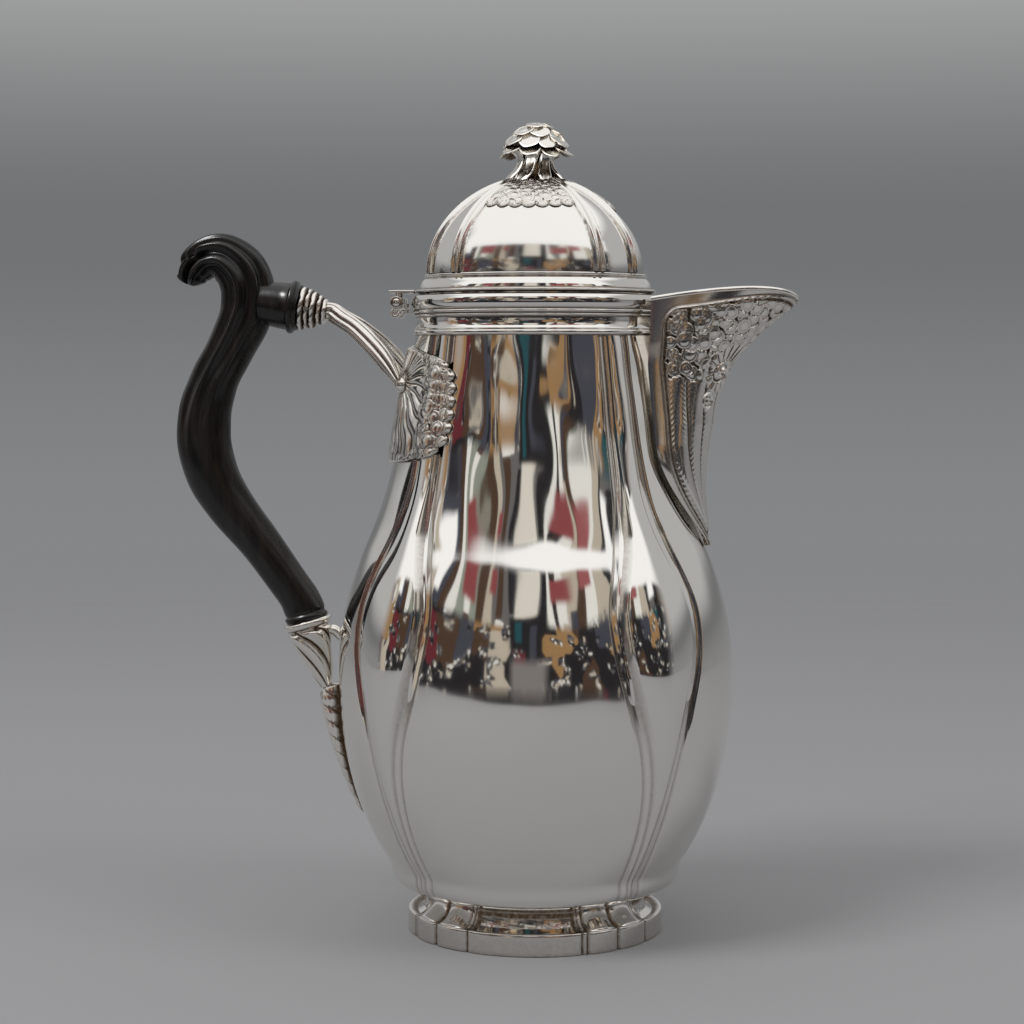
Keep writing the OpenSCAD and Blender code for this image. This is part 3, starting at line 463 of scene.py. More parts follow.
def body_face(angle, z):
    """Radius of the outer face and how far each point lies in a hollow: the body's radius with fuller lobes,
    the coves or paired lines along the creases, and the planishing."""
    away = from_axis(angle)
    half = lobe_at(z)
    from_crease = arc_length(away - 45 + half, panel_r(z))
    narrow = np.minimum(cove_half, arc_length(cove_share * half, panel_r(z)))
    cove = cove_d * np.clip(1 - (from_crease / narrow) ** 2, 0, 1) ** 0.8 * (narrow / cove_half)
    lines = line_d * bell(np.abs(from_crease) - line_gap, line_w)
    upper = ease(lines_below, coves_above, z)
    cut = lerp(lines, cove, upper) * ease(base_z, base_z + 8, z)
    on_lobe = np.clip(1 - ((45 - away) / half) ** 2, 0, 1)
    fuller = lobe_swell * on_lobe * ease(swell_foot, swell_low, z) * ease(swell_end, swell_high, z)
    dirt_and_shade = np.clip(lerp(0.4 * lines / line_d, 0.5 * cove / cove_d, upper), 0, 1)
    return body_r(angle, z) + fuller - cut + planished(angle, z), dirt_and_shade


def body_shape():
    """Loops from the middle of the underside, up the outer face, over the top edge and down inside to the
    floor's middle."""
    z = lerp(base_z, neck_z, np.linspace(0, 1, 150) ** 1.15)[:, None]
    angle = body_columns(z[:, 0])
    radius, dirt_and_shade = body_face(angle, z)
    outer = polar(radius, angle, z)
    inner_z, inner_angle = z[::-5], angle[::-5]
    inner = polar(body_r(inner_angle, inner_z) - wall_t, inner_angle, np.maximum(inner_z, base_z + wall_t))
    rings = np.array([[0.0], [20.0], [38.0]])
    under = polar(rings, angle[:1], base_z)
    inside = np.concatenate([inner, polar(rings[::-1], inner_angle[-1:], base_z + wall_t)])
    stain_and_shade = np.concatenate([np.zeros(under.shape[:2]), dirt_and_shade, np.zeros(inside.shape[:2])])
    return np.concatenate([under, outer, inside]), stain_and_shade


def pierce(piece, inside):
    """Cuts the faces whose middles lie inside out of a mesh, and joins the two cut edges with a wall."""
    mesh = piece.data
    middles = np.empty(3 * len(mesh.polygons), np.float32)
    mesh.polygons.foreach_get("center", middles)
    work = bmesh.new()
    work.from_mesh(mesh)
    work.faces.ensure_lookup_table()
    cut = [work.faces[k] for k in np.flatnonzero(inside(middles.reshape(-1, 3) / MM))]
    bmesh.ops.delete(work, geom=cut, context="FACES")
    bmesh.ops.bridge_loops(work, edges=[edge for edge in work.edges if edge.is_boundary])
    work.to_mesh(mesh)
    work.free()


def in_window(points):
    """True at points behind the spout, within the window's heights and its half angle."""
    x, y, z = points.T
    return (x > 0) & (window_low < z) & (z < window_high) & (np.abs(y) < x * np.tan(np.radians(window_half)))


body = fitted("body_shell", [body_shape()], polished_silver, "pot", "body")
pierce(body, in_window)


# Collar
# Two turned silver mouldings soldered on the neck: below a bead under a cove, above a bold half round over a
# fillet. The mouth's edge stays flat, so that the lid's flange closes on it.
mouth_r = 36.1
band_h, rim_h = 6.8, 6.0
bead_r, rim_r, cove_r = 39.4, 39.8, 38.2
rim_z = neck_z + band_h
collar_z = rim_z + rim_h


def stained(profile, heights):
    """A turned piece, tarnished on its outer side where its outline comes close to any of some heights."""
    outline = np.array(profile + profile[:1], float)
    outer = outline[:, :1] > outline[:, 0].min() + 1
    return turned(profile, 256), outer * sum(bell(outline[:, 1:] - z, 0.16) for z in heights)


neck_band_outline = ([[mouth_r, neck_z]]
                     + arc(bead_r - 1.0, neck_z + 0.95, 1.0, 0.95, -90, 75)
                     + arc(cove_r + 1.1, neck_z + 4.6, 1.1, 2.6, 250, 120, 16)
                     + arc(cove_r + 0.35, rim_z - 0.5, 0.5, 0.45, -90, 60)
                     + [[mouth_r, rim_z]])
fitted("neck_band", [stained(neck_band_outline, [neck_z, rim_z - 1.1, rim_z])], polished_silver,
       "pot", "neck_band")

rim_outline = ([[mouth_r, rim_z], [cove_r + 0.2, rim_z]]
               + arc(cove_r + 0.55, rim_z + 0.7, 0.65, 0.6, -80, 80)
               + arc(rim_r - 1.5, rim_z + 3.7, 1.5, 2.3, -62, 88, 22)
               + [[mouth_r + 0.2, collar_z], [mouth_r, collar_z - 0.2]])
fitted("rim_ring", [stained(rim_outline, [rim_z, rim_z + 1.4, collar_z])], polished_silver, "pot", "rim_ring")


# Spout
# A beak of silver sheet folded over the neck and chased from the front: a plain border, a field of lapped
# coins, reeds that fan out of a scrolled bud, and long hatched petals down to the low point. A wire edges it.
spout_low, spout_high, spout_reach = 125.3, 202.8, 83.6
spout_half_top, spout_half, spout_half_low, widest = 24.0, 28.5, 3.5, 0.42
nose_lean, nose_bow, nose_sweep = 1.2, 2.2, 2.6
lip_rise, lip_wire = 3.4, 0.8
spout_t, seat_gap = 1.3, 0.2
chasing_h = 1.25
border_w, border_w_low = 4.4, 1.5
top_border_w, top_border_nose = 3.3, 0.7
corner_r = 5.0
spout_coin_r, spout_coin_step, coins_z = 2.6, 3.9, 176.5
bud_p, bud_z = 6.6, 181.0
disc_p, disc_z = 9.5, 171.5
petal_count, petals_z = 3.4, 128


def seat_r(angle, z):
    """What the spout is soldered to: the body, and from the collar's foot up the collar, with a soft ramp."""
    on_body = body_r(angle, np.minimum(z, neck_z))
    return seat_gap + np.maximum(on_body, lerp(on_body, rim_r, ease(neck_z - 13, neck_z - 2, z)))


def spout_point(u, v):
    """Point of the spout's face: u runs from the low point to the lip, v from one edge over the nose to the
    other. Each level is a rounded V from the neck's edge to the nose line, which sweeps out near the top."""
    t = 1 - np.abs(v)
    above = (u - widest) / (1 - widest)
    rising = np.maximum(spout_half * np.abs(sin(90 * np.minimum(u / widest, 1))) ** 0.9, spout_half_low)
    angle = np.where(u < widest, rising, lerp(spout_half, spout_half_top, above))
    z = lerp(spout_low, spout_high, u)
    edge_r = seat_r(angle, z) + spout_t
    low_x = panel_r(spout_low) + spout_t + seat_gap
    bow = nose_bow * sin(180 * np.minimum(u / 0.5, 1)) * (u < 0.5)
    sweep = (spout_reach - low_x - nose_lean) * np.maximum(above, 0) ** nose_sweep
    nose = low_x + nose_lean * u - bow + sweep
    x = lerp(edge_r * cos(angle), nose, sin(90 * t) ** lerp(1, 1.25, u))
    y = edge_r * sin(angle) * np.abs(cos(90 * t)) ** lerp(1, 1.1, u)
    lift = lip_rise * u ** 4 * sin(180 * t ** 1.15)
    turn = np.degrees(np.arctan2(y, x))
    r = np.maximum(np.hypot(x, y), seat_r(turn, z) + spout_t)
    return polar(r, np.sign(v) * turn, z + lift)


def unit(v):
    """Vectors scaled to length 1."""
    return v / np.maximum(np.linalg.norm(v, axis=-1, keepdims=True), 1e-9)


def grid_normals(points):
    """Normals of a grid: the cross product of its steps along the columns and along the rows."""
    return unit(np.cross(np.gradient(points, axis=1), np.gradient(points, axis=0)))


def plate(front, back, hollow, under, skip=6):
    """Closed plate and its mask from two grids. Each loop runs along the front and returns along every sixth
    point of the plain other face, and the first and last loops close on that face's points."""
    kept = back[:, ::-skip]
    fold = np.round(np.arange(front.shape[1]) / skip).astype(int) * skip
    loops = np.concatenate([front, kept], 1)
    ends = np.concatenate([back[:, fold], kept], 1)
    mask = np.concatenate([hollow, np.full(kept.shape[:2], under)], 1)
    return np.concatenate([ends[:1], loops, ends[-1:]]), np.concatenate([mask[:1], mask, mask[-1:]])


def lapped_coins(points, x, y, spots, radius, lean):
    """Coins laid like roof tiles on a grid of points, as heights and as the dark lines round and in them.

    Each spot is a place in the grid's own two coordinates x and y, and its coin is centred on the nearest
    point. A coin is a low dome with an engraved ring, and it leans along a way in space, so that one side
    tucks under the next. Where coins lap, the later one covers the earlier.
    """
    height = np.zeros(points.shape[:2])
    line = np.full(points.shape[:2], 0.7)
    for k, (spot_x, spot_y) in enumerate(spots):
        miss = np.hypot(x - spot_x, y - spot_y)
        nearest = np.unravel_index(miss.argmin(), miss.shape)
        size = radius * (0.84 + 0.32 * ((k * 0.618) % 1)) * (miss[nearest] < radius)
        from_middle = points - points[nearest]
        away = np.linalg.norm(from_middle, axis=-1) / max(size, 1e-6)
        tilt = from_middle @ np.array(lean) / max(size, 1e-6)
        ring = bell(away - 0.58, 0.1)
        face = 0.62 + 0.16 * tilt + 0.22 * (1 - away ** 2) - 0.08 * ring - 0.45 * ease(0.84, 1.0, away)
        covers = (away < 1) & ((away < 0.93) | (face > height))
        height = np.where(covers, face, height)
        line = np.where(covers, ease(0.84, 0.97, away) + 0.25 * ring, line)
    return height, line


def brick_centres(x0, x1, y0, y1, step):
    """Centres in staggered rows over a rectangle, each shifted a little, and dealt out in a mixed order. Both
    follow a fixed rule: fractions of a steep sine of the place."""
    rows = np.arange(y0, y1, step * 0.86)
    x, y = np.meshgrid(np.arange(x0, x1, step), rows)
    x = x + (np.arange(len(rows)) % 2)[:, None] * step / 2
    wander = 0.22 * step
    chance = np.sin(12.9898 * x + 78.233 * y)
    spots = np.stack([x + wander * chance, y + wander * np.cos(39.3 * x + 11.1 * y)], -1).reshape(-1, 2)
    return spots[np.argsort((chance * 437.585 % 1).ravel())]


def spout_relief(points, u):
    """Chasing on the spout, as heights and hollows. It works on each point's distance from the nose along
    its level, p, its distance down from the lip, q, and its height, z. The bud and the disc have their own
    distances and ways."""
    steps = np.linalg.norm(np.diff(points, axis=1), axis=-1)
    run = np.concatenate([np.zeros((len(points), 1)), np.cumsum(steps, 1)], 1)
    middle = run[:, run.shape[1] // 2][:, None]
    p = np.abs(run - middle)
    drops = np.concatenate([np.linalg.norm(np.diff(points, axis=0), axis=-1), np.zeros((1, points.shape[1]))])
    q = np.cumsum(drops[::-1], 0)[::-1]
    z = points[..., 2]

    side = middle - p - lerp(border_w_low, border_w, ease(0.02, 0.55, u))
    under = (1 - u) * (spout_high - spout_low) - lerp(top_border_nose, top_border_w, ease(2, 34, p))
    rounded = corner_r - np.hypot(corner_r - side, corner_r - under)
    inset = np.where((side < corner_r) & (under < corner_r), rounded, np.minimum(side, under))
    field = ease(0.3, 0.9, inset)
    bead = 0.45 * bell(inset - 0.05, 0.28)

    share = np.clip(p / np.maximum(middle - border_w * 1.15, 1), 0, 1)
    petal = (share * petal_count + 0.5) % 1 * 2 - 1
    hatch = 0.035 * np.cos(2 * np.pi * (z + 3.2 * np.abs(petal)) / 1.6) * ease(0.2, 0.8, np.abs(petal))
    petals = 0.12 + 0.62 * np.sqrt(np.clip(1 - petal ** 2, 0, 1)) + hatch

    bud_way = np.degrees(np.arctan2(z - bud_z, p - bud_p))
    bud_far = np.hypot(p - bud_p, z - bud_z)
    folded = points * np.array([1, 0, 1]) + np.abs(points) * np.array([0, 1, 0])
    spots = brick_centres(-1, 48, 1.5, 36, spout_coin_step)
    coins, coin_lines = lapped_coins(folded, p, q, spots, spout_coin_r, (0.3, 0.2, 0.7))
    coin_zone = ease(coins_z, coins_z + 1.5, z - 0.05 * p) * (1 - ease(8.6, 8.2, bud_far) * (p < bud_p + 9))
    reeds = 0.25 + 0.55 * np.abs(cos(bud_way * 10)) ** 0.7
    reed_end = ease(9.5, 8.2, bud_far - 0.03 * (bud_way - 90))
    reed_zone = ease(10, 24, bud_way) * ease(208, 195, bud_way) * reed_end
    frill = 0.3 + 0.5 * np.abs(cos(bud_way * 5)) ** 0.6
    frill_zone = ease(7.0, 6.0, bud_far) * ease(0, -15, np.abs(bud_way + 90) - 88)
    swirl = 0.5 + 0.35 * np.cos(bud_far * 2.6 - np.radians(bud_way)) + 0.5 * bell(bud_far, 1.3)
    swirl_zone = ease(4.0, 3.4, bud_far)

    disc_far = np.hypot(p - disc_p, z - disc_z)
    pip_side = 0.8 * np.sin(3 * np.arctan2(z - disc_z, p - disc_p))
    pips = bell(np.hypot(disc_far - 1.5, pip_side), 0.35)
    disc = 0.55 + 0.3 * bell(disc_far - 2.5, 0.3) + 0.35 * bell(disc_far, 0.5) - 0.25 * pips

    height = petals * ease(petals_z, petals_z + 3, z)
    dark = ease(0.55, 0.15, height)
    for shape, lines, zone in ((coins, coin_lines, coin_zone), (reeds, ease(0.6, 0.3, reeds), reed_zone),
                               (frill, ease(0.6, 0.32, frill), frill_zone),
                               (swirl, ease(0.45, 0.2, swirl), swirl_zone),
                               (disc, ease(0.5, 0.3, disc), ease(3.0, 2.8, disc_far))):
        height = lerp(height, shape, zone)
        dark = lerp(dark, lines, zone)
    hollow = field * dark + 0.6 * bell(inset + 0.5, 0.25) + 0.8 * bell(inset - 0.65, 0.25)
    return chasing_h * (field * height + bead), hollow


def spout_sheets():
    """The spout as a plate: the chased outer face, and a plain inner face one thickness in that stays clear
    of the neck. It also returns the middle line of its upper edge."""
    u = np.linspace(0, 1, 238)[:, None] ** 0.8
    v = np.linspace(-1, 1, 349)[None, :]
    face = spout_point(u, v)
    normal = grid_normals(face)
    relief, hollow = spout_relief(face, u)
    front = face + normal * relief[..., None] * ease(0, 0.02, 1 - np.abs(v))[..., None]
    back = face - spout_t * normal
    turn = np.degrees(np.arctan2(back[..., 1], back[..., 0]))
    r = np.maximum(np.hypot(back[..., 0], back[..., 1]), seat_r(turn, back[..., 2]))
    back = polar(r, turn, face[..., 2])
    return plate(front, back, hollow, 0.3), (front[-1] + back[-1]) / 2


def pinched(ring):
    """A ring drawn in to its middle point."""
    return np.broadcast_to(ring.mean(1, keepdims=True), ring.shape)


def swept(path, in_plane, across, side=(0.0, 1.0, 0.0)):
    """Carries a section along a path: each point is the path's point plus in_plane along the path's normal
    and across along the side vector, made square to the path. A point at each end closes it."""
    along = unit(np.gradient(path, axis=0))
    wide = np.asarray(side, float)
    wide = unit(wide - (along @ wide)[:, None] * along)
    normal = np.cross(wide, along)
    rings = path[:, None] + in_plane[..., None] * normal[:, None] + across[..., None] * wide[:, None]
    return np.concatenate([pinched(rings[:1]), rings, pinched(rings[-1:])])


# Its brown, like the polished one's, is tarnished silver in hollows and painted shade where the mask darkens
# under and between parts.
chased_silver = silver("chased_silver", (0.915, 0.882, 0.825), (0.11, 0.07, 0.04),
                       roughness=0.11, rubbed=0.07, depth=1.2, bloom=0.06, scratch=3e-7)
spout_sheet, lip_line = spout_sheets()
fitted("spout_beak", [spout_sheet], chased_silver, "pot", "spout")

around = circle(16)
lip_path = lip_line + np.array([0, 0, lip_wire * 0.8])
lip_sheet = swept(lip_path, lip_wire * cos(around), lip_wire * sin(around), (0.0, 0.0, 1.0))
fitted("spout_lip_wire", [lip_sheet], polished_silver, "pot", "spout_lip")

nodes["spout_strainer"].material_slots[0].material = chased_silver


# Lid
# A raised dome soldered to a turned flange, with a short sleeve inside that centres it in the mouth. Double
# ribs frame four wide panels, and each panel carries an applied border of small coins under the finial.
lid_gap, lid_t = 0.5, 1.1
flange_r, flange_h = 38.8, 6.2
dome_r, dome_h, dome_power, dome_run = 34.8, 30.6, 1.12, 53.0
rib_angle, rib_angle_side = 39.0, 25.0
rib_half, rib_h = 2.1, 1.1
frieze_t, frieze_margin = 0.9, 4.5
frieze_low, frieze_high, scallops = 0.495, 0.8, 7
frieze_coin_r, frieze_coin_step = 2.2, 3.1
bezel_h, bezel_t, bezel_clear = 6.0, 1.0, 0.4
stud_hole_r = 1.75
flange_z = collar_z + lid_gap
dome_z = flange_z + flange_h
crown_z = dome_z + dome_h

flange_in = dome_r - lid_t - 1
flange_outline = ([[flange_in, flange_z], [flange_r - 1.6, flange_z], [flange_r - 0.9, flange_z + 0.25]]
                  + arc(flange_r - 0.55, flange_z + 0.65, 0.55, 0.45, -75, 85, 10)
                  + [[flange_r - 1.0, flange_z + 1.15], [flange_r - 1.1, flange_z + 1.35]]
                  + arc(dome_r - 0.2, flange_z - 0.4, flange_r - dome_r - 1.0, 5.3, 20, 84, 18)
                  + arc(dome_r + 0.55, flange_z + 5.55, 0.5, 0.5, -70, 100, 8)
                  + [[flange_in, dome_z]])
flange_sheet = stained(flange_outline, [flange_z, flange_z + 1.25, dome_z])
fitted("lid_flange", [flange_sheet], polished_silver, "lid", "lid_rim")

bezel_out = mouth_r - bezel_clear
bezel_outline = [[bezel_out - bezel_t, flange_z], [bezel_out - bezel_t, flange_z - bezel_h + 0.2],
                 [bezel_out - bezel_t / 2, flange_z - bezel_h], [bezel_out, flange_z - bezel_h + 0.4],
                 [bezel_out, flange_z]]
# The sleeve is darkened all over, 0.3: tarnished silver and painted shade, so that the gap under the flange
# reads dark.
fitted("lid_sleeve", [(turned(bezel_outline, 256), 0.3)], polished_silver, "lid", "lid_bezel")


def dome_point(t, angle, offset):
    """Point of the dome, offset from its face: near an ellipse from the flange, t = 0, to the crown, t = 1,
    and two parts in a hundred wider on the diagonals."""
    wider = 1 + 0.01 * (1 - cos(4 * angle)) * (1 - t ** 6)
    r = dome_r * np.abs(cos(90 * t)) ** dome_power * wider
    return polar(r + offset * cos(90 * t), angle, dome_z + dome_h * sin(90 * t) + offset * sin(90 * t))


def dome_sheet():
    """The dome as a shell with a hole for the finial's stud. Columns are kept close together on the ribs, and
    a rib is two beads with a groove between, of one width all the way up."""
    end = np.degrees(np.arccos((stud_hole_r / dome_r) ** (1 / dome_power))) / 90
    t = (end * np.sin(np.linspace(0, np.pi / 2, 110)) ** 1.1)[:, None]
    r = dome_r * cos(90 * t) ** dome_power
    half = np.minimum(np.degrees(rib_half / np.maximum(r, 1)), 11.0)
    low, high = rib_angle_side, 90 - rib_angle

    def run(start, finish, count):
        """Angles from start towards finish on every row."""
        return start + (finish - start) * np.linspace(0, 1, count, endpoint=False)[None, :]

    quarter = np.concatenate([run(0 * half, low - half, 22), run(low - half, low + half, 24),
                              run(low + half, high - half, 16), run(high - half, high + half, 24),
                              run(high + half, 90 + 0 * half, 34)], 1)
    second = 180 - np.concatenate([quarter[:, 1:], np.full_like(t, 90.0)], 1)[:, ::-1]
    angle = np.concatenate([quarter, second, 180 + quarter, 180 + second], 1)
    turn = np.abs((angle + 90) % 180 - 90)
    x = np.abs(np.where(turn < (low + high) / 2, turn - low, turn - high) / half)
    fade = ease(0.93, 0.86, t)
    rib = (x <= 1) * rib_h * (0.95 * bell(x - 0.55, 0.2) + 0.12 * ease(1, 0.8, x)) * fade
    cheek = 0.12 * bell(x - 1.05, 0.12) * fade
    outer = dome_point(t, angle, rib - cheek + 0.4 * planished(angle, 110.0))
    inner = dome_point(t[::-7], angle[::-7], -lid_t)
    inner[..., 2] = np.maximum(inner[..., 2], dome_z)
    dirt_and_shade = 0.4 * bell(x - 1.05, 0.1) * fade + 0.3 * bell(x, 0.16) * fade
    clean = np.zeros((len(inner) + 1, angle.shape[1]))
    return np.concatenate([outer, inner, outer[:1]]), np.concatenate([dirt_and_shade, clean])


brushed_silver = silver("brushed_silver", bright, brown_stain_and_shade, roughness=0.085, rubbed=0.07, depth=0.95,
                        bloom=0.05, scratch=3e-7)
fitted("lid_dome_shell", [dome_sheet()], brushed_silver, "lid", "lid_dome")


def frieze_sheet(turn, half_angle):
    """One patch of the border: a plate on the dome whose lower edge hangs in scallops, covered with lapped
    coins, and a row of upright leaves along its top."""
    i = np.linspace(0, 1, 76)[:, None]
    s = np.linspace(-1, 1, 199)[None, :]
    scallop = np.abs(sin(90 * scallops * (s + 1))) ** 0.6
    t = lerp(frieze_low - 0.03 * scallop - 0.015 * cos(90 * s), frieze_high, i)
    x = arc_length(s * half_angle, dome_r) * cos(90 * t) ** dome_power
    angle = turn + half_angle * s
    spots = brick_centres(-19, 19, 22, 46, frieze_coin_step)
    coins, lines = lapped_coins(dome_point(t, angle, 0), x, t * dome_run, spots, frieze_coin_r,
                                (0.0, 0.0, -0.8))
    leaf = 0.35 + 0.5 * np.abs(cos(x * 85)) ** 0.6
    top_row = ease(0.8, 0.86, i)
    height = lerp(coins, leaf, top_row)
    dark = lerp(lines, ease(0.6, 0.4, leaf), top_row)
    rim = np.minimum(ease(0, 0.1, i) * ease(1, 0.94, i), ease(1, 0.95, np.abs(s)))
    lift = (0.3 + frieze_t * height) * (0.3 + 0.7 * rim)
    hollow = 0.55 * dark + 0.6 * ease(0.05, 0, i)
    return plate(dome_point(t, angle, lift), dome_point(t, angle, 0.05), hollow, 1.0)


patches = [frieze_sheet(90 * k, (rib_angle if k % 2 else rib_angle_side) - frieze_margin) for k in range(4)]
fitted("lid_coin_border", patches, chased_silver, "lid", "lid_frieze")


# Finial
# A cast bunch of flat stalks that splay on the crown and carry a blossom of lapped round petals. A screw stud
# runs down through the dome, and a washer and a nut hold it from inside.
stem_h, stalks = 5.4, 7
blossom_z = crown_z + stem_h


def smooth_line(points, count):
    """Smooth curve through points, as many coordinates as they have: cubic pieces whose slope at each point
    is half the step between its neighbours."""
    points = np.array(points, float)
    last = len(points) - 1
    at = np.minimum(np.linspace(0, last, count), last - 1e-6)
    i = np.floor(at).astype(int)
    f = (at - i)[:, None]
    p0, p1 = points[np.maximum(i - 1, 0)], points[i]
    p2, p3 = points[i + 1], points[np.minimum(i + 2, last)]
    return 0.5 * (2 * p1 + (p2 - p0) * f + (2 * p0 - 5 * p1 + 4 * p2 - p3) * f ** 2
                  + (3 * p1 - p0 - 3 * p2 + p3) * f ** 3)


def from_front(angle):
    """How far an angle lies from 0, either way round."""
    return np.abs((angle + 180) % 360 - 180)


def stalk_sheet(turn):
    """One stalk: a flat strap with a groove along its face, from a splayed toe up to the blossom. Each point
    of its line is radius, angle, height, half width and half thickness."""
    line = smooth_line([[10.6, -18, -2.2, 0.9, 0.4], [8.4, -13, 0.1, 2.3, 0.8], [6.2, -6, 2.3, 2.2, 0.95],
                        [5.1, 0, 4.8, 2.0, 0.95], [5.6, 6, 7.2, 2.2, 0.9], [7.6, 12, 9.2, 2.6, 0.7]], 40)
    path = polar(line[:, 0], turn + line[:, 1], crown_z + line[:, 2])
    around = circle(24)
    groove = 1 - 0.42 * bell(from_front(around), 24)
    thick = line[:, 4:5] * cos(around) * groove
    wide = line[:, 3:4] * sin(around)
    # Tarnished silver in the groove, and painted shade over the whole inner face, which is turned to the
    # core.
    dirt_and_shade = 0.35 * bell(from_front(around), 12) + ease(100, 150, from_front(around))
    return swept(path, thick, wide, (-float(sin(turn)), float(cos(turn)), 0.0)), dirt_and_shade


def bud_core(radius, height, z, rings=18, steps=36):
    """Closed egg: half circle of points turned round the axis, of one radius and half height."""
    a = np.linspace(-90, 90, rings)[:, None]
    return polar(radius * np.abs(cos(a)), circle(steps), z + height * sin(a))


def petal_sheet(centre, normal, radius):
    """One round petal: a dished disc with a rolled rim and a waved edge, facing along its normal."""
    profile = np.array([[0, 0.44], [0.3, 0.4], [0.6, 0.32], [0.82, 0.35], [0.93, 0.4], [1.0, 0.24],
                        [0.96, 0.02], [0.8, -0.3], [0.5, -0.6], [0, -0.8]])
    # Painted shade: the underside darkens to brown, 0.6 to 0.9, as shade under each petal; the middle and the
    # rim's edge take only a touch of brown.
    dirt_and_shade = np.array([0.05, 0, 0, 0, 0, 0, 0.1, 0.6, 0.9, 0.9])[:, None]
    around = circle(28)
    side = unit(np.cross(normal, [0.3, 0.2, 1.0]))
    other = np.cross(normal, side)
    wave = 1 + 0.04 * cos(5 * around + 77 * centre[0])
    r = (radius * profile[:, :1] * wave)[..., None]
    points = (centre + r * (cos(around)[:, None] * side + sin(around)[:, None] * other)
              + profile[:, 1][:, None, None] * normal)
    return points, dirt_and_shade


def blossom_sheets():
    """The blossom: rings of petals laid like an umbrella over a round core, each ring lower and wider. A ring
    is its radius, its height above the stalks, the tilt of its petals, their number and their radius."""
    # Painted shade: the round core between the petals is darkened to 0.8.
    sheets = [(bud_core(8.0, 5.6, blossom_z + 5.6), 0.8)]
    rings = [(0.0, 11.5, 0, 1, 2.9), (3.6, 10.8, 20, 6, 2.9), (6.4, 8.9, 36, 8, 3.3),
             (8.5, 6.3, 48, 10, 3.5), (9.1, 3.2, 38, 9, 3.5)]
    for ring_r, ring_z, tilt, count, size in rings:
        for k in range(count):
            turn = 360 * k / count + 1.7 * tilt
            lean = tilt + 8 * sin(137.5 * k + tilt)
            face = np.array([sin(lean) * cos(turn), sin(lean) * sin(turn), cos(lean)])
            centre = polar(ring_r, turn, blossom_z + ring_z + 0.45 * sin(97 * k + tilt))
            sheets.append(petal_sheet(centre, face, size * (1 + 0.1 * sin(211 * k + tilt))))
    return sheets


stem_sheets = [stalk_sheet(360 * k / stalks) for k in range(stalks)]
# Painted shade: the core inside the stalks is darkened fully.
stem_sheets.append((bud_core(4.2, 5.5, crown_z + 3.0), 1.0))
stem = fitted("finial_stalks", stem_sheets, chased_silver, "lid", "finial_stem")
blossom = fitted("finial_petals", blossom_sheets(), chased_silver, "lid", "finial_blossom")

for name in ("finial_stud", "finial_nut"):
    nodes[name].material_slots[0].material = chased_silver


# Hinge
# Three silver knuckles on a riveted pin behind the collar. Two hang on a scrolled bracket on the collar, and
# the middle one is part of the flat plate that reaches out from the lid's flange.
hinge_x, hinge_z = -44.0, 202.8
barrel_r, barrel_len = 2.1, 15.0
hinge_bore_r, hinge_pin_r = 0.95, 0.9
rivet_r, rivet_h = 1.25, 0.35
knuckle, knuckle_gap = barrel_len / 3, 0.3
bracket_t, back_plate_t, plate_t, web_t = 1.1, 1.3, 1.2, 2.4


def on_hinge(outline, steps):
    """Turns an outline of [radius, place along the hinge] points round the hinge's axis."""
    outline = np.array(outline)
    around = circle(steps)
    return np.stack(np.broadcast_arrays(hinge_x + outline[:, :1] * cos(around), outline[:, 1:],
                                        hinge_z + outline[:, :1] * sin(around)), -1)


def barrel(y0, y1):
    """Knuckle along the hinge: a closed outline with rounded edges, dirty at its ends and in its bore."""
    soft = 0.25
    outline = [[hinge_bore_r, y0], [barrel_r - soft, y0], [barrel_r, y0 + soft], [barrel_r, y1 - soft],
               [barrel_r - soft, y1], [hinge_bore_r, y1], [hinge_bore_r, y0]]
    return on_hinge(outline, 48), np.array([1, 0.5, 0, 0, 0.5, 1, 1])[:, None]


def strip(points, thickness, half_length, y=0.0):
    """Flat strip of metal with rounded edges along the hinge: a path in X and Z, measured from the hinge's
    axis, carried across the pot."""
    path = smooth_line(np.array(points) + [hinge_x, hinge_z], 30)
    path = np.stack([path[:, 0], np.full(len(path), y), path[:, 1]], -1)
    around = circle(20) + 9
    flat = np.sign(cos(around)) * np.abs(cos(around)) ** 0.45
    ends = np.sign(sin(around)) * np.abs(sin(around)) ** 0.3
    return swept(path, flat * thickness / 2, ends * half_length)


outer_knuckles = [barrel(-barrel_len / 2, -knuckle / 2 - knuckle_gap),
                  barrel(knuckle / 2 + knuckle_gap, barrel_len / 2)]
scroll = [[-0.9, -2.2], [-1.6, -3.6], [-0.6, -4.6], [0.6, -3.8], [1.8, -2.5], [3.6, -2.8]]
bracket = [strip(scroll, bracket_t, (barrel_len - knuckle) / 4 - 0.15, side * (barrel_len + knuckle) / 4)
           for side in (-1, 1)]
back_plate = strip([[3.25, -3.6], [3.15, -2.2], [3.15, -0.6]], back_plate_t, barrel_len / 2)
fitted("hinge_bracket", [*outer_knuckles, *bracket, back_plate], polished_silver, "pot", "hinge_body_leaf")

plate_up = flange_z + 0.1 + plate_t / 2 - hinge_z
lid_plate = strip([[-2.3, plate_up - 0.1], [0, plate_up], [3.0, plate_up], [5.7, plate_up]],
                  plate_t, barrel_len / 2)
lid_web = strip([[0, 1.2], [0, 2.4], [-0.1, plate_up]], web_t, knuckle / 2)
fitted("hinge_lid_plate", [barrel(-knuckle / 2, knuckle / 2), lid_plate, lid_web],
       polished_silver, "lid", "hinge_lid_leaf")

rivet_at = barrel_len / 2
rivet_end = rivet_at + rivet_h
rivet_outline = [[0, -rivet_end], [0.8, -rivet_end + 0.1], [rivet_r, -rivet_at + 0.05],
                 [hinge_pin_r, -rivet_at], [hinge_pin_r, rivet_at],
                 [rivet_r, rivet_at - 0.05], [0.8, rivet_end - 0.1], [0, rivet_end]]
fitted("hinge_pin_rivet", [on_hinge(rivet_outline, 32)], polished_silver, "pot", "hinge_pin")


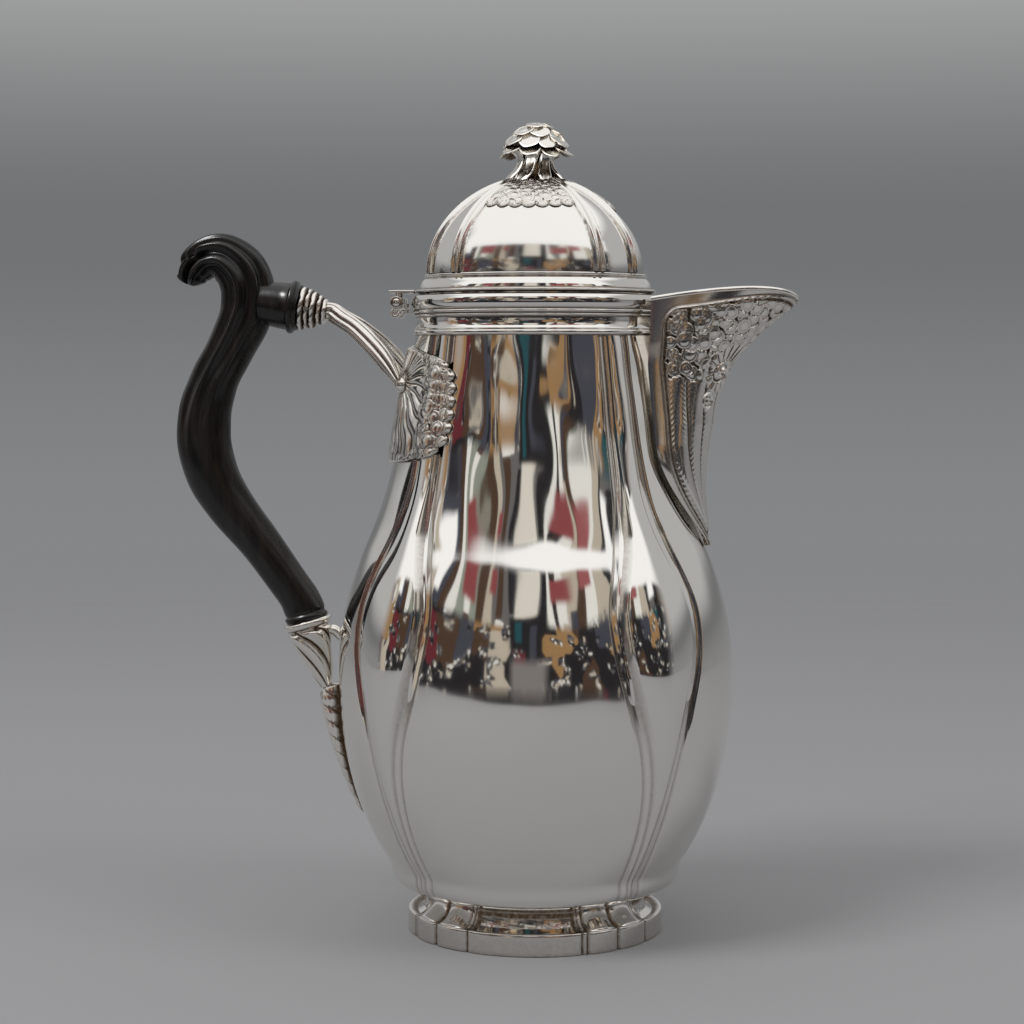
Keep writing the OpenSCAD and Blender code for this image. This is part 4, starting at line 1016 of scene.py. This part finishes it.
# Handle
# One piece of ebony, sawn to an S, carved at the head into a rolled leaf and rubbed smooth with wax. A turned
# boss at its back and a tenon at its foot go into the two silver sockets, where cross pins hold them.
cup_stand, cup_z, cup_tilt = 12.3, 99.6, 16.0
boss_stand, boss_z, boss_tilt = 36.8, 201.2, 8.0
boss_r, boss_len = 8.2, 14.0
grip_flat, grip_lead = 0.86, 5.0
boss_end = np.array([-rim_r - boss_stand, 0, boss_z])
boss_way = np.array([float(cos(boss_tilt)), 0, -float(sin(boss_tilt))])
cup_way = np.array([float(sin(cup_tilt)), 0, -float(cos(cup_tilt))])


def side_x(z):
    """The pot's side behind the grip: a straight line from the body at the lower socket to the collar."""
    return -lerp(float(panel_r(cup_z)), rim_r, min(max((z - cup_z) / (boss_z - cup_z), 0), 1))


# Middle line from the lower end to the scroll's tip: distance from the pot's side, height, half width
grip_line = [
    [cup_stand, cup_z, 6.6], [19.7, 110.4, 6.5], [33.8, 125.2, 6.9], [47.1, 138.3, 7.9],
    [54.7, 148.3, 8.7], [59.2, 158.4, 8.9], [60.8, 168.4, 8.5], [59.9, 177.9, 7.9],
    [57.1, 187.3, 7.8], [54.4, 197.3, 8.4], [53.8, 205.3, 8.8], [55.6, 212.4, 8.8],
    [61.2, 217.4, 7.8], [67.2, 217.4, 6.9], [71.7, 213.6, 6.1], [73.4, 208.8, 4.5]]
grip_points = [[side_x(z) - out, 0, z, half] for out, z, half in grip_line]
cup_top = np.array(grip_points[0][:3])
grip_points.insert(1, [*(cup_top - grip_lead * cup_way), grip_points[0][3]])


def grip_sheet():
    """The grip: an oval section carried along its line and carved. Each side has flutes between ridges that
    start in the scroll, deeper cuts split the scroll's end into leaf tips, and a notch parts its point."""
    line = smooth_line(grip_points, 380)
    around = circle(112)
    s = np.linspace(0, 1, len(line))[:, None]
    facing = 90 - from_front(around)
    along = s - 0.72
    flutes = (1.6 * bell(facing - 8 - 30 * along, 7.5) * ease(0.33, 0.62, s)
              + 1.35 * bell(facing + 32 - 20 * along, 7.5) * ease(0.3, 0.58, s)
              + 1.6 * bell(facing - 45 - 34 * along, 7) * ease(0.58, 0.72, s)
              + 1.2 * bell(facing - 74, 5.5) * ease(0.7, 0.8, s))
    ridges = bell(facing - 26 - 30 * along, 6) + bell(facing + 12 - 24 * along, 6)
    ridges = 0.6 * ridges * ease(0.3, 0.55, s)
    tip = ease(0.83, 0.97, s)
    splits = tip * (3.0 * bell(facing - 12, 7) + 2.2 * bell(facing - 52, 7) + 1.8 * bell(facing + 40, 8))
    notch = 2.6 * bell(s - 0.955 + 0.0009 * (90 - facing), 0.011) * ease(-10, 40, facing)
    worn = 0.06 * np.sin(31 * s + np.radians(2 * around)) + 0.05 * np.sin(83 * s - np.radians(3 * around))
    ring = 0.45 * bell(s - 0.018, 0.008) - 0.35 * bell(s - 0.033, 0.004)
    half = line[:, 3:4] + ridges - flutes - splits - notch + worn + ring
    half = np.maximum(half, 0.8) * np.sqrt(ease(-0.02, 0.002, s)) * np.sqrt(np.clip((1.003 - s) / 0.03, 0, 1))
    hollow = 0.5 * (flutes + splits + notch)
    sheet = swept(line[:, :3], half * cos(around), half * sin(around) * grip_flat)
    return sheet, np.concatenate([hollow[:1], hollow, hollow[-1:]])


def placed(sheet, origin, way):
    """Moves a piece turned round Z to an origin, with its axis along a way in the XZ plane."""
    side = np.array([0.0, 1.0, 0.0])
    return origin + sheet[..., :1] * np.cross(side, way) + sheet[..., 1:2] * side + sheet[..., 2:] * way


def ramp_node(tree, value, stops, steps="LINEAR"):
    """Colours along a value from 0 to 1; each stop is a share of that run and a colour."""
    node = tree.nodes.new("ShaderNodeValToRGB")
    node.color_ramp.interpolation = steps
    while len(node.color_ramp.elements) < len(stops):
        node.color_ramp.elements.new(1.0)
    for stop, (share, colour) in zip(node.color_ramp.elements, stops):
        stop.position = share
        stop.color = (*colour, 1)
    tree.links.new(value, node.inputs["Fac"])
    return node.outputs["Color"]


def ebony_material():
    """Waxed ebony: near black with brown streaks along the grain, fine open pores and a soft gloss."""
    material, tree, shader = new_material("ebony")
    place = object_place(tree)
    grain = noise_node(tree, place, 420, 4, (1.0, 1.0, 0.06))
    pores = noise_node(tree, place, 1500, 2, (1.0, 1.0, 0.05))
    hands = noise_node(tree, place, 55, 3)
    streaks = ramp_node(tree, grain, [(0.42, (0.0022, 0.0020, 0.0020)), (0.75, (0.009, 0.0066, 0.0055))])
    tree.links.new(streaks, shader.inputs["Base Color"])
    gloss = math_node(tree, "MULTIPLY", hands, 0.22)
    open_pores = math_node(tree, "MULTIPLY", pores, 0.12)
    rough = math_node(tree, "ADD", math_node(tree, "ADD", gloss, open_pores), 0.09)
    tree.links.new(rough, shader.inputs["Roughness"])
    shader.inputs["Specular IOR Level"].default_value = 0.5
    relief = bump_node(tree, math_node(tree, "ADD", pores, grain), 0.35, 4e-5)
    tree.links.new(relief, shader.inputs["Normal"])
    return material


boss_outline = ([[0, -boss_len], [boss_r - 1.5, -boss_len], [boss_r - 1.0, -9.5], [boss_r - 0.7, -6.5],
                 [boss_r - 0.5, -3.6]]
                + arc(boss_r - 0.5, -2.3, 1.0, 1.0, -70, 85, 12)
                + [[boss_r - 0.7, -1.1], [boss_r - 0.8, -0.2], [boss_r - 1.2, 0.0], [0, 0.0]])
tenon_outline = [[0, -1.0], [3.0, -1.0], [3.0, 6.6], [2.6, 7.0], [0, 7.0]]
foot_tenon_outline = [[0, -6.0], [4.4, -6.0], [4.4, 8.6], [4.0, 9.0], [0, 9.0]]
handle_sheets = [grip_sheet(), placed(spun(boss_outline), boss_end, boss_way),
                 placed(spun(tenon_outline, 48), boss_end, boss_way),
                 placed(spun(foot_tenon_outline, 48), cup_top, cup_way)]
handle = fitted("handle_grip", handle_sheets, ebony_material(), "pot", "handle")


# Upper mount
# A cast fan plate soldered on the neck under the collar: reeds spread from the two landings of the arm to a
# border of lapped coins. The forked arm is reeded, and a socket of stepped rings takes the handle's boss.
ferrule_r, ferrule_len = 7.0, 9.2
arm_half, arm_thin, arm_angle = 2.9, 1.7, 20.0
fan_half, fan_half_end = 58.0, 34.0
fan_low, fan_high = 151.2, 189.2
fan_t, fan_rim = 2.4, 0.8
fan_scallops, fan_band, fan_tuft_z = 8, 11.0, 159.5
fan_coin_r, fan_coin_step = 3.1, 4.3
land_z, land_neck_r = lerp(fan_low, fan_high, 0.7), 40.5

# Each ring: its place along the socket, its half height, and its radius as a share of the socket's
ferrule_rings = [[1.1, 1.0, 1.0], [2.9, 0.9, 0.9], [4.7, 1.0, 0.84], [6.5, 0.9, 0.68], [8.2, 0.8, 0.58]]
ferrule_outline = [[0, 0.1], [6.2, 0.1]]
for at, half, share in ferrule_rings:
    ferrule_outline += arc(ferrule_r * share - 0.9, at, 1.0, half, -78, 78, 9)
ferrule_outline += [[3.0, ferrule_len + 0.1], [0, ferrule_len + 0.3]]
ring_r, ring_z = np.array(ferrule_outline).T[..., None]
around = circle(96)
crimp = 1 + 0.035 * sin(7 * around + 95 * ring_z) * (ring_r > 3.2)
ferrule_sheet = placed(polar(ring_r * crimp, around, ring_z), boss_end, boss_way)
ferrule_dirt = sum(bell(ring_z - (at - half), 0.25) for at, half, share in ferrule_rings)
fitted("handle_socket_rings", [(ferrule_sheet, ferrule_dirt)], chased_silver, "pot", "upper_ferrule")


def arm_sheets(side):
    """One strand of the arm: it leaves the socket along the boss, bends down and out to its landing, and is
    reeded all round. A small bud sits where it lands. Each bend is how far the strand has gone ahead, down
    and out, its swell, and how far it has spread."""
    root = arm_half * 0.62
    start = boss_end + (ferrule_len + 0.1) * boss_way
    land_r = float(body_r(180 - arm_angle, land_z)) + seat_gap + fan_t + arm_thin + 0.25
    finish = np.array([-land_r * cos(arm_angle), side * land_r * sin(arm_angle), land_z])
    y0 = side * (root + 0.075)
    line = [[*(start + d * boss_way + np.array([0, y0, 0])), arm_half, root] for d in (0, 1.6)]
    bends = [[0.18, 0.10, 0.12, 1, 0.2], [0.37, 0.23, 0.3, 1, 0.5], [0.56, 0.41, 0.52, 1.05, 0.8],
             [0.73, 0.6, 0.72, 1.1, 1], [0.87, 0.79, 0.88, 1.1, 1], [1, 1, 1, 1, 1]]
    for ahead, down, out, swell, spread in bends:
        x, z = lerp(start[0], finish[0], ahead), lerp(start[2], finish[2], down)
        line.append([x, lerp(y0, finish[1], out), z, lerp(arm_half, arm_thin, down ** 4) * swell,
                     lerp(root, arm_half * 0.95, spread)])
    strand = smooth_line(line, 90)
    around = circle(72)
    reed = 0.8 + 0.24 * np.abs(cos(3 * around + 15)) ** 0.8
    sheet = swept(strand[:, :3], strand[:, 3:4] * cos(around) * reed, strand[:, 4:5] * sin(around) * reed)
    bud = bud_core(2.7, 2.5, 0.0, 14, 28) + finish + np.array([1.2, -side * 0.4, -1.2])
    return [(sheet, ease(0.95, 0.8, reed)), bud]


for side, node in ((-1, "arm_front"), (1, "arm_back")):
    fitted("handle_" + node, arm_sheets(side), chased_silver, "pot", node)


def fan_sheet():
    """The fan plate: wrapped on the neck, thickest at its middle, with reeds round each landing, lapped coins
    along both edges and a tuft of folds at the bottom."""
    i = np.linspace(0, 1, 200)[:, None]
    t = np.linspace(-1, 1, 397)[None, :]
    z = lerp(fan_low + 2 * t ** 2, fan_high - 3 * t ** 2, i)
    edge = lerp(fan_half_end, fan_half, np.sqrt(np.clip(1 - (2 * i - 1) ** 4, 0, 1)))
    edge = edge * (1 - 0.05 * (1 - np.abs(sin(180 * fan_scallops * i)) ** 0.6))
    angle = 180 + t * edge
    neck = body_r(angle, z)
    x = np.abs(arc_length(t * edge, neck))
    from_side = arc_length((1 - np.abs(t)) * edge, neck)
    face = fan_rim + (fan_t - fan_rim) * (1 - t ** 4) * (1 - (2 * i - 1) ** 4)
    land_x = arc_length(arm_angle, land_neck_r)
    way = np.degrees(np.arctan2(z - land_z, x - land_x))
    far = np.hypot(x - land_x, z - land_z)
    reeds = 0.15 + 0.65 * np.abs(cos(way * 11 + 25 * sin(30 * far))) ** 0.7
    mirrored = polar(neck, 180 + np.abs(t) * edge, z)
    spots = brick_centres(16, 46, 148, 193, fan_coin_step)
    coins, coin_lines = lapped_coins(mirrored, x, z, spots, fan_coin_r, (0.5, -0.4, -0.5))
    coin_zone = ease(fan_band + 0.5, fan_band - 0.5, from_side + 1.4 * np.sin(0.8 * z))
    tuft = 0.3 + 0.6 * np.abs(cos(np.sign(t) * x * 42 + 30 * sin(z * 20))) ** 0.7
    height = lerp(reeds, tuft, ease(fan_tuft_z + 1.5, fan_tuft_z - 1.5, z + 0.25 * x))
    dark = lerp(ease(0.5, 0.2, height), coin_lines, coin_zone)
    height = lerp(height, coins, coin_zone)
    top = np.minimum(ease(0, 0.03, i) * ease(1, 0.97, i), ease(0, 1.0, from_side))
    front = polar(neck + seat_gap + (face * 0.75 + 1.15 * height) * (0.3 + 0.7 * top), angle, z)
    back = polar(neck + 0.05, angle, z)
    return plate(front, back, dark + 0.7 * bell(far - 3.2, 0.8), 1.0)


fitted("neck_fan_plate", [fan_sheet()], chased_silver, "pot", "upper_mount")

for name in ("upper_pin", "lower_pin"):
    nodes[name].material_slots[0].material = polished_silver


# Lower mount
# A cast socket pleated like a calyx takes the handle's foot. It draws in to a stem over a pendant leaf that
# is soldered down the body, and a small curled strut steadies it against the belly.
cup_r, cup_len, cup_tip_r = 8.0, 20.0, 3.0
cup_rim_h = 2.4
leaf_low, leaf_len, leaf_half, leaf_rise = 35.8, 42.0, 6.2, 8.6
leaf_edge, leaf_scales = 0.7, 9


def cup_sheet():
    """The socket: a rolled rim, then folds that run down aslant and draw in to the tip. The radius falls with
    the depth, and five folds with a finer wave between them ride on it, turning with the depth."""
    rim_depth = np.array([0.15, 0.15, 0.4, 0.9, 1.5, 2.0, cup_rim_h])[:, None]
    rolled = np.array([0, cup_r - 0.5, cup_r, cup_r + 0.2, cup_r, cup_r - 0.4, cup_r - 0.7])[:, None]
    depth = np.linspace(cup_rim_h + 0.4, cup_len + 2.6, 70)[:, None]
    t = np.clip((depth - cup_rim_h) / (cup_len - cup_rim_h), 0, 1.15)
    drawn_in = lerp(cup_r - 0.2, cup_tip_r, np.minimum(t, 1) ** 0.95) * (1 - 0.35 * ease(0.95, 1.15, t))
    around = circle(120)
    fold = np.abs(cos(2.5 * around + 330 * t ** 0.6)) ** 0.6
    fine = np.abs(cos(5 * around + 560 * t ** 0.6 + 50))
    pleats = drawn_in * (0.78 + (0.24 * fold + 0.05 * fine) * ease(0, 0.12, t) * lerp(1, 0.75, t))
    rim = rolled * (1 - 0.03 * (1 - np.abs(cos(2.5 * around))) * (rolled > 0))
    sheet = polar(np.concatenate([rim, pleats]), around, np.concatenate([rim_depth, depth]))
    pleat_dirt = ease(0.6, 0.25, fold) + 0.2 * ease(0.2, 0, fine)
    dirt_and_shade = np.concatenate([np.zeros((6, 120)), np.full((1, 120), 0.8), pleat_dirt, np.ones((1, 120))])
    return placed(np.concatenate([sheet, pinched(sheet[-1:])]), cup_top, cup_way), dirt_and_shade


fitted("handle_foot_socket", [cup_sheet()], chased_silver, "pot", "lower_cup")


def leaf_sheet():
    """The pendant leaf: a rounded keel on the body that tapers to its low point. Its sides are chased with
    lapped scales that fade out towards the smooth keel, and its edge is slightly scalloped."""
    s = np.linspace(0, 1, 170)[:, None]
    t = np.linspace(-1, 1, 121)[None, :]
    z = leaf_low + (leaf_len + 1.5) * s
    scallop = 1 - 0.07 * np.abs(sin(180 * leaf_scales * s)) ** 2
    half = leaf_half * (0.12 + 0.88 * sin(90 * np.minimum(s / 0.75, 1))) * scallop
    angle = 180 + np.degrees(t * half / panel_r(z))
    lift = leaf_edge + (leaf_rise - leaf_edge) * (1 - np.abs(t) ** 1.7) * (0.12 + 0.88 * s ** 1.1)
    crown = np.sqrt(np.clip(1 - np.clip((s - 0.84) / 0.16, 0, 1) ** 2, 0, 1))
    side = ease(0.2, 0.5, np.abs(t))
    lap = (leaf_scales * s + 0.8 * np.abs(t)) % 1
    scale = side * (0.8 * (1 - lap) + 0.12 * np.abs(cos(720 * t + 360 * lap))) + 0.25 * bell(t, 0.1)
    rim = ease(1, 0.9, np.abs(t)) * ease(0, 0.03, s)
    on_body = body_r(angle, z)
    front = polar(on_body + seat_gap + (lift * 0.95 + scale * rim) * (0.2 + 0.8 * crown), angle, z)
    # Tarnished silver in the scales' lap lines, and painted shade along both edges where the leaf meets the
    # body.
    hollow = side * ease(0.76, 0.93, lap) + 0.9 * ease(0.86, 1, np.abs(t))
    return plate(front, polar(on_body + 0.05, angle, z), hollow, 1.0)


fitted("pendant_leaf", [leaf_sheet()], chased_silver, "pot", "lower_leaf")

# Middle line of the strut from its root on the body: way in, height, half width
strut_z = cup_z - 3.5
strut_root = -float(panel_r(strut_z)) - 0.1
strut_line = smooth_line([[strut_root + 0.2, strut_z - 3.2, 1.0], [strut_root - 1.0, strut_z - 1.4, 1.5],
                          [strut_root - 2.4, strut_z + 0.2, 1.7], [strut_root - 4.2, strut_z + 0.3, 1.6],
                          [strut_root - 5.6, strut_z - 0.8, 1.3]], 40)
strut_path = np.stack([strut_line[:, 0], np.zeros(40), strut_line[:, 1]], -1)
strut_half = strut_line[:, 2:]
around = circle(32)
strut_sheet = swept(strut_path, strut_half * cos(around), 1.15 * strut_half * sin(around))
fitted("socket_strut", [strut_sheet], chased_silver, "pot", "lower_strut")


# Studio
# A grey seamless floor that fades into a plain grey backdrop, four soft lamps, two of them for the handle
# and the finial alone, and a room on the camera's side that only the polished metal shows.
floor_r = 3.0
fade_from, fade_to = 0.35, 1.7
table_front, table_wide = 0.50, 1.7
room_half, ceiling_low, ceiling_bow = 88, 41.8, 0.0022
lamp_aim = Vector((0, 0, 0.12))


def span_node(tree, value, low, high, kind="LINEAR"):
    """Runs from 0 where a value is low to 1 where it is high."""
    span = tree.nodes.new("ShaderNodeMapRange")
    span.interpolation_type = kind
    span.inputs["From Min"].default_value = low
    span.inputs["From Max"].default_value = high
    tree.links.new(value, span.inputs["Value"])
    return span.outputs[0]


def sum_of_squares(tree, first, second):
    """Squares of two values, added up."""
    return math_node(tree, "ADD", math_node(tree, "POWER", first, 2.0), math_node(tree, "POWER", second, 2.0))


def floor_material():
    """Matt grey paper. It fades out with distance, and in the metal's reflections it ends at the table's oval
    edge in front of the pot, where the room begins."""
    material, tree, paper = new_material("floor_paper")
    paper.inputs["Base Color"].default_value = (0.33, 0.33, 0.335, 1)
    paper.inputs["Roughness"].default_value = 0.9
    paper.inputs["Specular IOR Level"].default_value = 0.1
    split = tree.nodes.new("ShaderNodeSeparateXYZ")
    tree.links.new(object_place(tree), split.inputs[0])
    far = math_node(tree, "SQRT", sum_of_squares(tree, split.outputs["X"], split.outputs["Y"]))
    fade = span_node(tree, far, fade_from, fade_to, "SMOOTHSTEP")
    narrow = math_node(tree, "DIVIDE", split.outputs["X"], table_wide)
    ahead = math_node(tree, "MINIMUM", split.outputs["Y"], 0.0)
    beyond = math_node(tree, "GREATER_THAN", sum_of_squares(tree, narrow, ahead), table_front ** 2)
    glossy = tree.nodes.new("ShaderNodeLightPath").outputs["Is Glossy Ray"]
    gone = math_node(tree, "MAXIMUM", fade, math_node(tree, "MULTIPLY", beyond, glossy))
    clear = tree.nodes.new("ShaderNodeBsdfTransparent")
    mix = tree.nodes.new("ShaderNodeMixShader")
    tree.links.new(gone, mix.inputs[0])
    tree.links.new(paper.outputs[0], mix.inputs[1])
    tree.links.new(clear.outputs[0], mix.inputs[2])
    tree.links.new(mix.outputs[0], tree.nodes["Material Output"].inputs["Surface"])
    return material


floor_rings = np.concatenate([[0.0], np.linspace(0.05, floor_r, 24)])[:, None]
floor = solid("floor", [polar(floor_rings, circle(96), 0.0) / MM], floor_material())
if floor.data.polygons[0].normal.z < 0:
    floor.data.flip_normals()


def room_world():
    """What surrounds the pot. The camera sees a plain grey backdrop, matt surfaces get an even grey light,
    and reflections show a room under a white ceiling: small things on shelves below, tall curtains and
    windows above them, and a few cards, each a middle azimuth, half width, low and high edge, colour and
    softness."""
    world = bpy.data.worlds.new("studio")
    bpy.context.scene.world = world
    world.use_nodes = True
    tree = world.node_tree
    split = tree.nodes.new("ShaderNodeSeparateXYZ")
    tree.links.new(tree.nodes.new("ShaderNodeTexCoord").outputs["Generated"], split.inputs[0])
    ahead = math_node(tree, "MULTIPLY", split.outputs["Y"], -1.0)
    to_degrees = 57.2958
    azimuth = math_node(tree, "MULTIPLY", math_node(tree, "ARCTAN2", split.outputs["X"], ahead), to_degrees)
    height = math_node(tree, "MULTIPLY", math_node(tree, "ARCSINE", split.outputs["Z"]), to_degrees)

    def window(value, low, high, soft):
        """1 where a value lies between low and high, with a soft edge."""
        rise = span_node(tree, value, low - soft, low + soft)
        return math_node(tree, "MULTIPLY", rise, span_node(tree, value, high + soft, high - soft))

    def clutter(wide, tall, seed, stops):
        """Upright boxes of chance colours: cells of one width and height in degrees, coloured from stops."""
        place = tree.nodes.new("ShaderNodeCombineXYZ")
        tree.links.new(math_node(tree, "DIVIDE", azimuth, wide), place.inputs["X"])
        row = math_node(tree, "ADD", math_node(tree, "DIVIDE", height, tall), seed)
        tree.links.new(row, place.inputs["Y"])
        cells = tree.nodes.new("ShaderNodeTexVoronoi")
        cells.voronoi_dimensions = "2D"
        cells.distance = "CHEBYCHEV"
        cells.inputs["Scale"].default_value = 1.0
        cells.inputs["Randomness"].default_value = 0.85
        tree.links.new(place.outputs[0], cells.inputs["Vector"])
        chance = tree.nodes.new("ShaderNodeSeparateColor")
        tree.links.new(cells.outputs["Color"], chance.inputs[0])
        return ramp_node(tree, chance.outputs[0], stops, "CONSTANT")

    greys = [(0.0, (0.24, 0.243, 0.248)), (0.22, (0.24, 0.243, 0.248)), (0.4, (0.2, 0.203, 0.208)),
             (0.55, (0.15, 0.153, 0.158)), (0.68, (0.2, 0.203, 0.206)), (0.82, (0.34, 0.342, 0.345)),
             (1.0, (0.46, 0.46, 0.46))]
    backdrop = ramp_node(tree, span_node(tree, height, -8, 12), greys, "B_SPLINE")

    dark, smoke, slate = (0.02, 0.019, 0.021), (0.13, 0.125, 0.125), (0.055, 0.057, 0.075)
    red, wine, teal = (0.24, 0.062, 0.066), (0.12, 0.025, 0.032), (0.02, 0.075, 0.09)
    moss, brown, tan = (0.25, 0.27, 0.23), (0.07, 0.042, 0.028), (0.30, 0.18, 0.085)
    beige, pale, white = (0.46, 0.41, 0.34), (0.74, 0.73, 0.70), (0.96, 0.96, 0.96)
    tall_things = clutter(5.5, 30, 3.3, [(0.0, dark), (0.26, smoke), (0.4, moss), (0.52, brown), (0.62, pale),
                                         (0.76, slate), (0.84, beige), (0.93, wine)])
    small_things = clutter(13, 15, 7.7, [(0.0, dark), (0.45, tan), (0.57, brown), (0.7, slate), (0.8, beige),
                                         (0.86, teal), (0.9, wine), (0.97, pale)])
    specks = clutter(1.5, 1.3, 1.9, [(0.0, dark), (0.4, smoke), (0.6, beige), (0.75, pale), (0.85, slate)])
    speckled = clutter(4.2, 3.0, 5.1, [(0.0, (0.0, 0.0, 0.0)), (0.78, (1.0, 1.0, 1.0))])
    small_things = mix_node(tree, small_things, specks, speckled)
    room = mix_node(tree, small_things, tall_things, window(height, 19, 90, 1.5))
    room = mix_node(tree, room, dark, window(height, -60, -8, 1.5))
    cards = [
        (0, 11, 8, 24, dark, 1.0), (-4, 2.5, 12, 22, teal, 0.8), (6, 2, 4, 20, slate, 0.6),
        (0, 7, 24, 41, (0.66, 0.62, 0.56), 0.8), (2, 12, -9, 4, (0.20, 0.185, 0.18), 2),
        (-46, 6, 26, 44, red, 1.0), (-27, 3, 31, 38, red, 0.8), (28, 8, 27, 36, red, 1.0),
        (46, 6, 30, 44, (0.30, 0.095, 0.10), 1.0), (-74, 4, 24, 95, white, 1.0), (74, 4, 24, 95, white, 1.0)]
    for centre, half, low, high, colour, soft in cards:
        mask = math_node(tree, "MULTIPLY", window(azimuth, centre - half, centre + half, soft),
                         window(height, low, high, soft))
        room = mix_node(tree, room, colour, mask)
    sideways = math_node(tree, "POWER", math_node(tree, "ABSOLUTE", azimuth), 2.0)
    ceiling = math_node(tree, "ADD", height, math_node(tree, "MULTIPLY", sideways, ceiling_bow))
    room = mix_node(tree, room, white, window(ceiling, ceiling_low, 200, 0.9))
    seen = mix_node(tree, backdrop, room, window(azimuth, -room_half, room_half, 6))
    seen = mix_node(tree, seen, white, window(height, 44, 95, 5))
    path = tree.nodes.new("ShaderNodeLightPath")
    colour = mix_node(tree, (0.55, 0.55, 0.56), seen, path.outputs["Is Glossy Ray"])
    colour = mix_node(tree, colour, backdrop, path.outputs["Is Camera Ray"])
    tree.links.new(colour, tree.nodes["Background"].inputs["Color"])
    tree.nodes["Background"].inputs["Strength"].default_value = 1.0


room_world()


def soft_lamp(name, place, size, watts, only=()):
    """Square soft box that points at the middle of the pot. One for only some pieces is mirrored in them."""
    lamp = bpy.data.lights.new(name, "AREA")
    lamp.size = size
    lamp.energy = watts
    box = bpy.data.objects.new(name, lamp)
    box.location = place
    box.visible_camera = False
    box.visible_glossy = bool(only)
    box.rotation_euler = (lamp_aim - Vector(place)).to_track_quat("-Z", "Y").to_euler()
    bpy.context.scene.collection.objects.link(box)
    if only:
        lit = bpy.data.collections.new("lit_by_" + name)
        for piece in only:
            lit.objects.link(piece)
        box.light_linking.receiver_collection = lit


soft_lamp("key_lamp", (-0.9, -0.8, 1.5), 0.7, 14)
soft_lamp("handle_lamp", (-0.55, -0.35, 0.95), 0.22, 5, [handle])
soft_lamp("fill_lamp", (1.2, -0.5, 1.1), 0.8, 5)
soft_lamp("finial_lamp", (-0.1, -0.95, 0.62), 2.2, 20, [stem, blossom])

camera_place = Vector((0.0656, -0.7501, 0.1858))
camera_down = 3.83
axis_right_px = 23.3
focal_px = 2337.0
image_px = 1024.0
camera = bpy.data.cameras.new("photo_camera")
camera.sensor_width = 36.0
camera.lens = camera.sensor_width * focal_px / image_px
camera.clip_start = 0.01
eye = bpy.data.objects.new("photo_camera", camera)
eye.location = camera_place
level = Vector((-camera_place.x, -camera_place.y, 0)).normalized()
left = Vector((-level.y, level.x, 0))
turned_left = level + left * (axis_right_px / focal_px)
aim = turned_left.normalized() * float(cos(camera_down)) - Vector((0, 0, float(sin(camera_down))))
eye.rotation_euler = aim.to_track_quat("-Z", "Y").to_euler()
bpy.context.scene.collection.objects.link(eye)
bpy.context.scene.camera = eye
bpy.context.scene.view_settings.view_transform = "Standard"

bpy.context.view_layer.update()
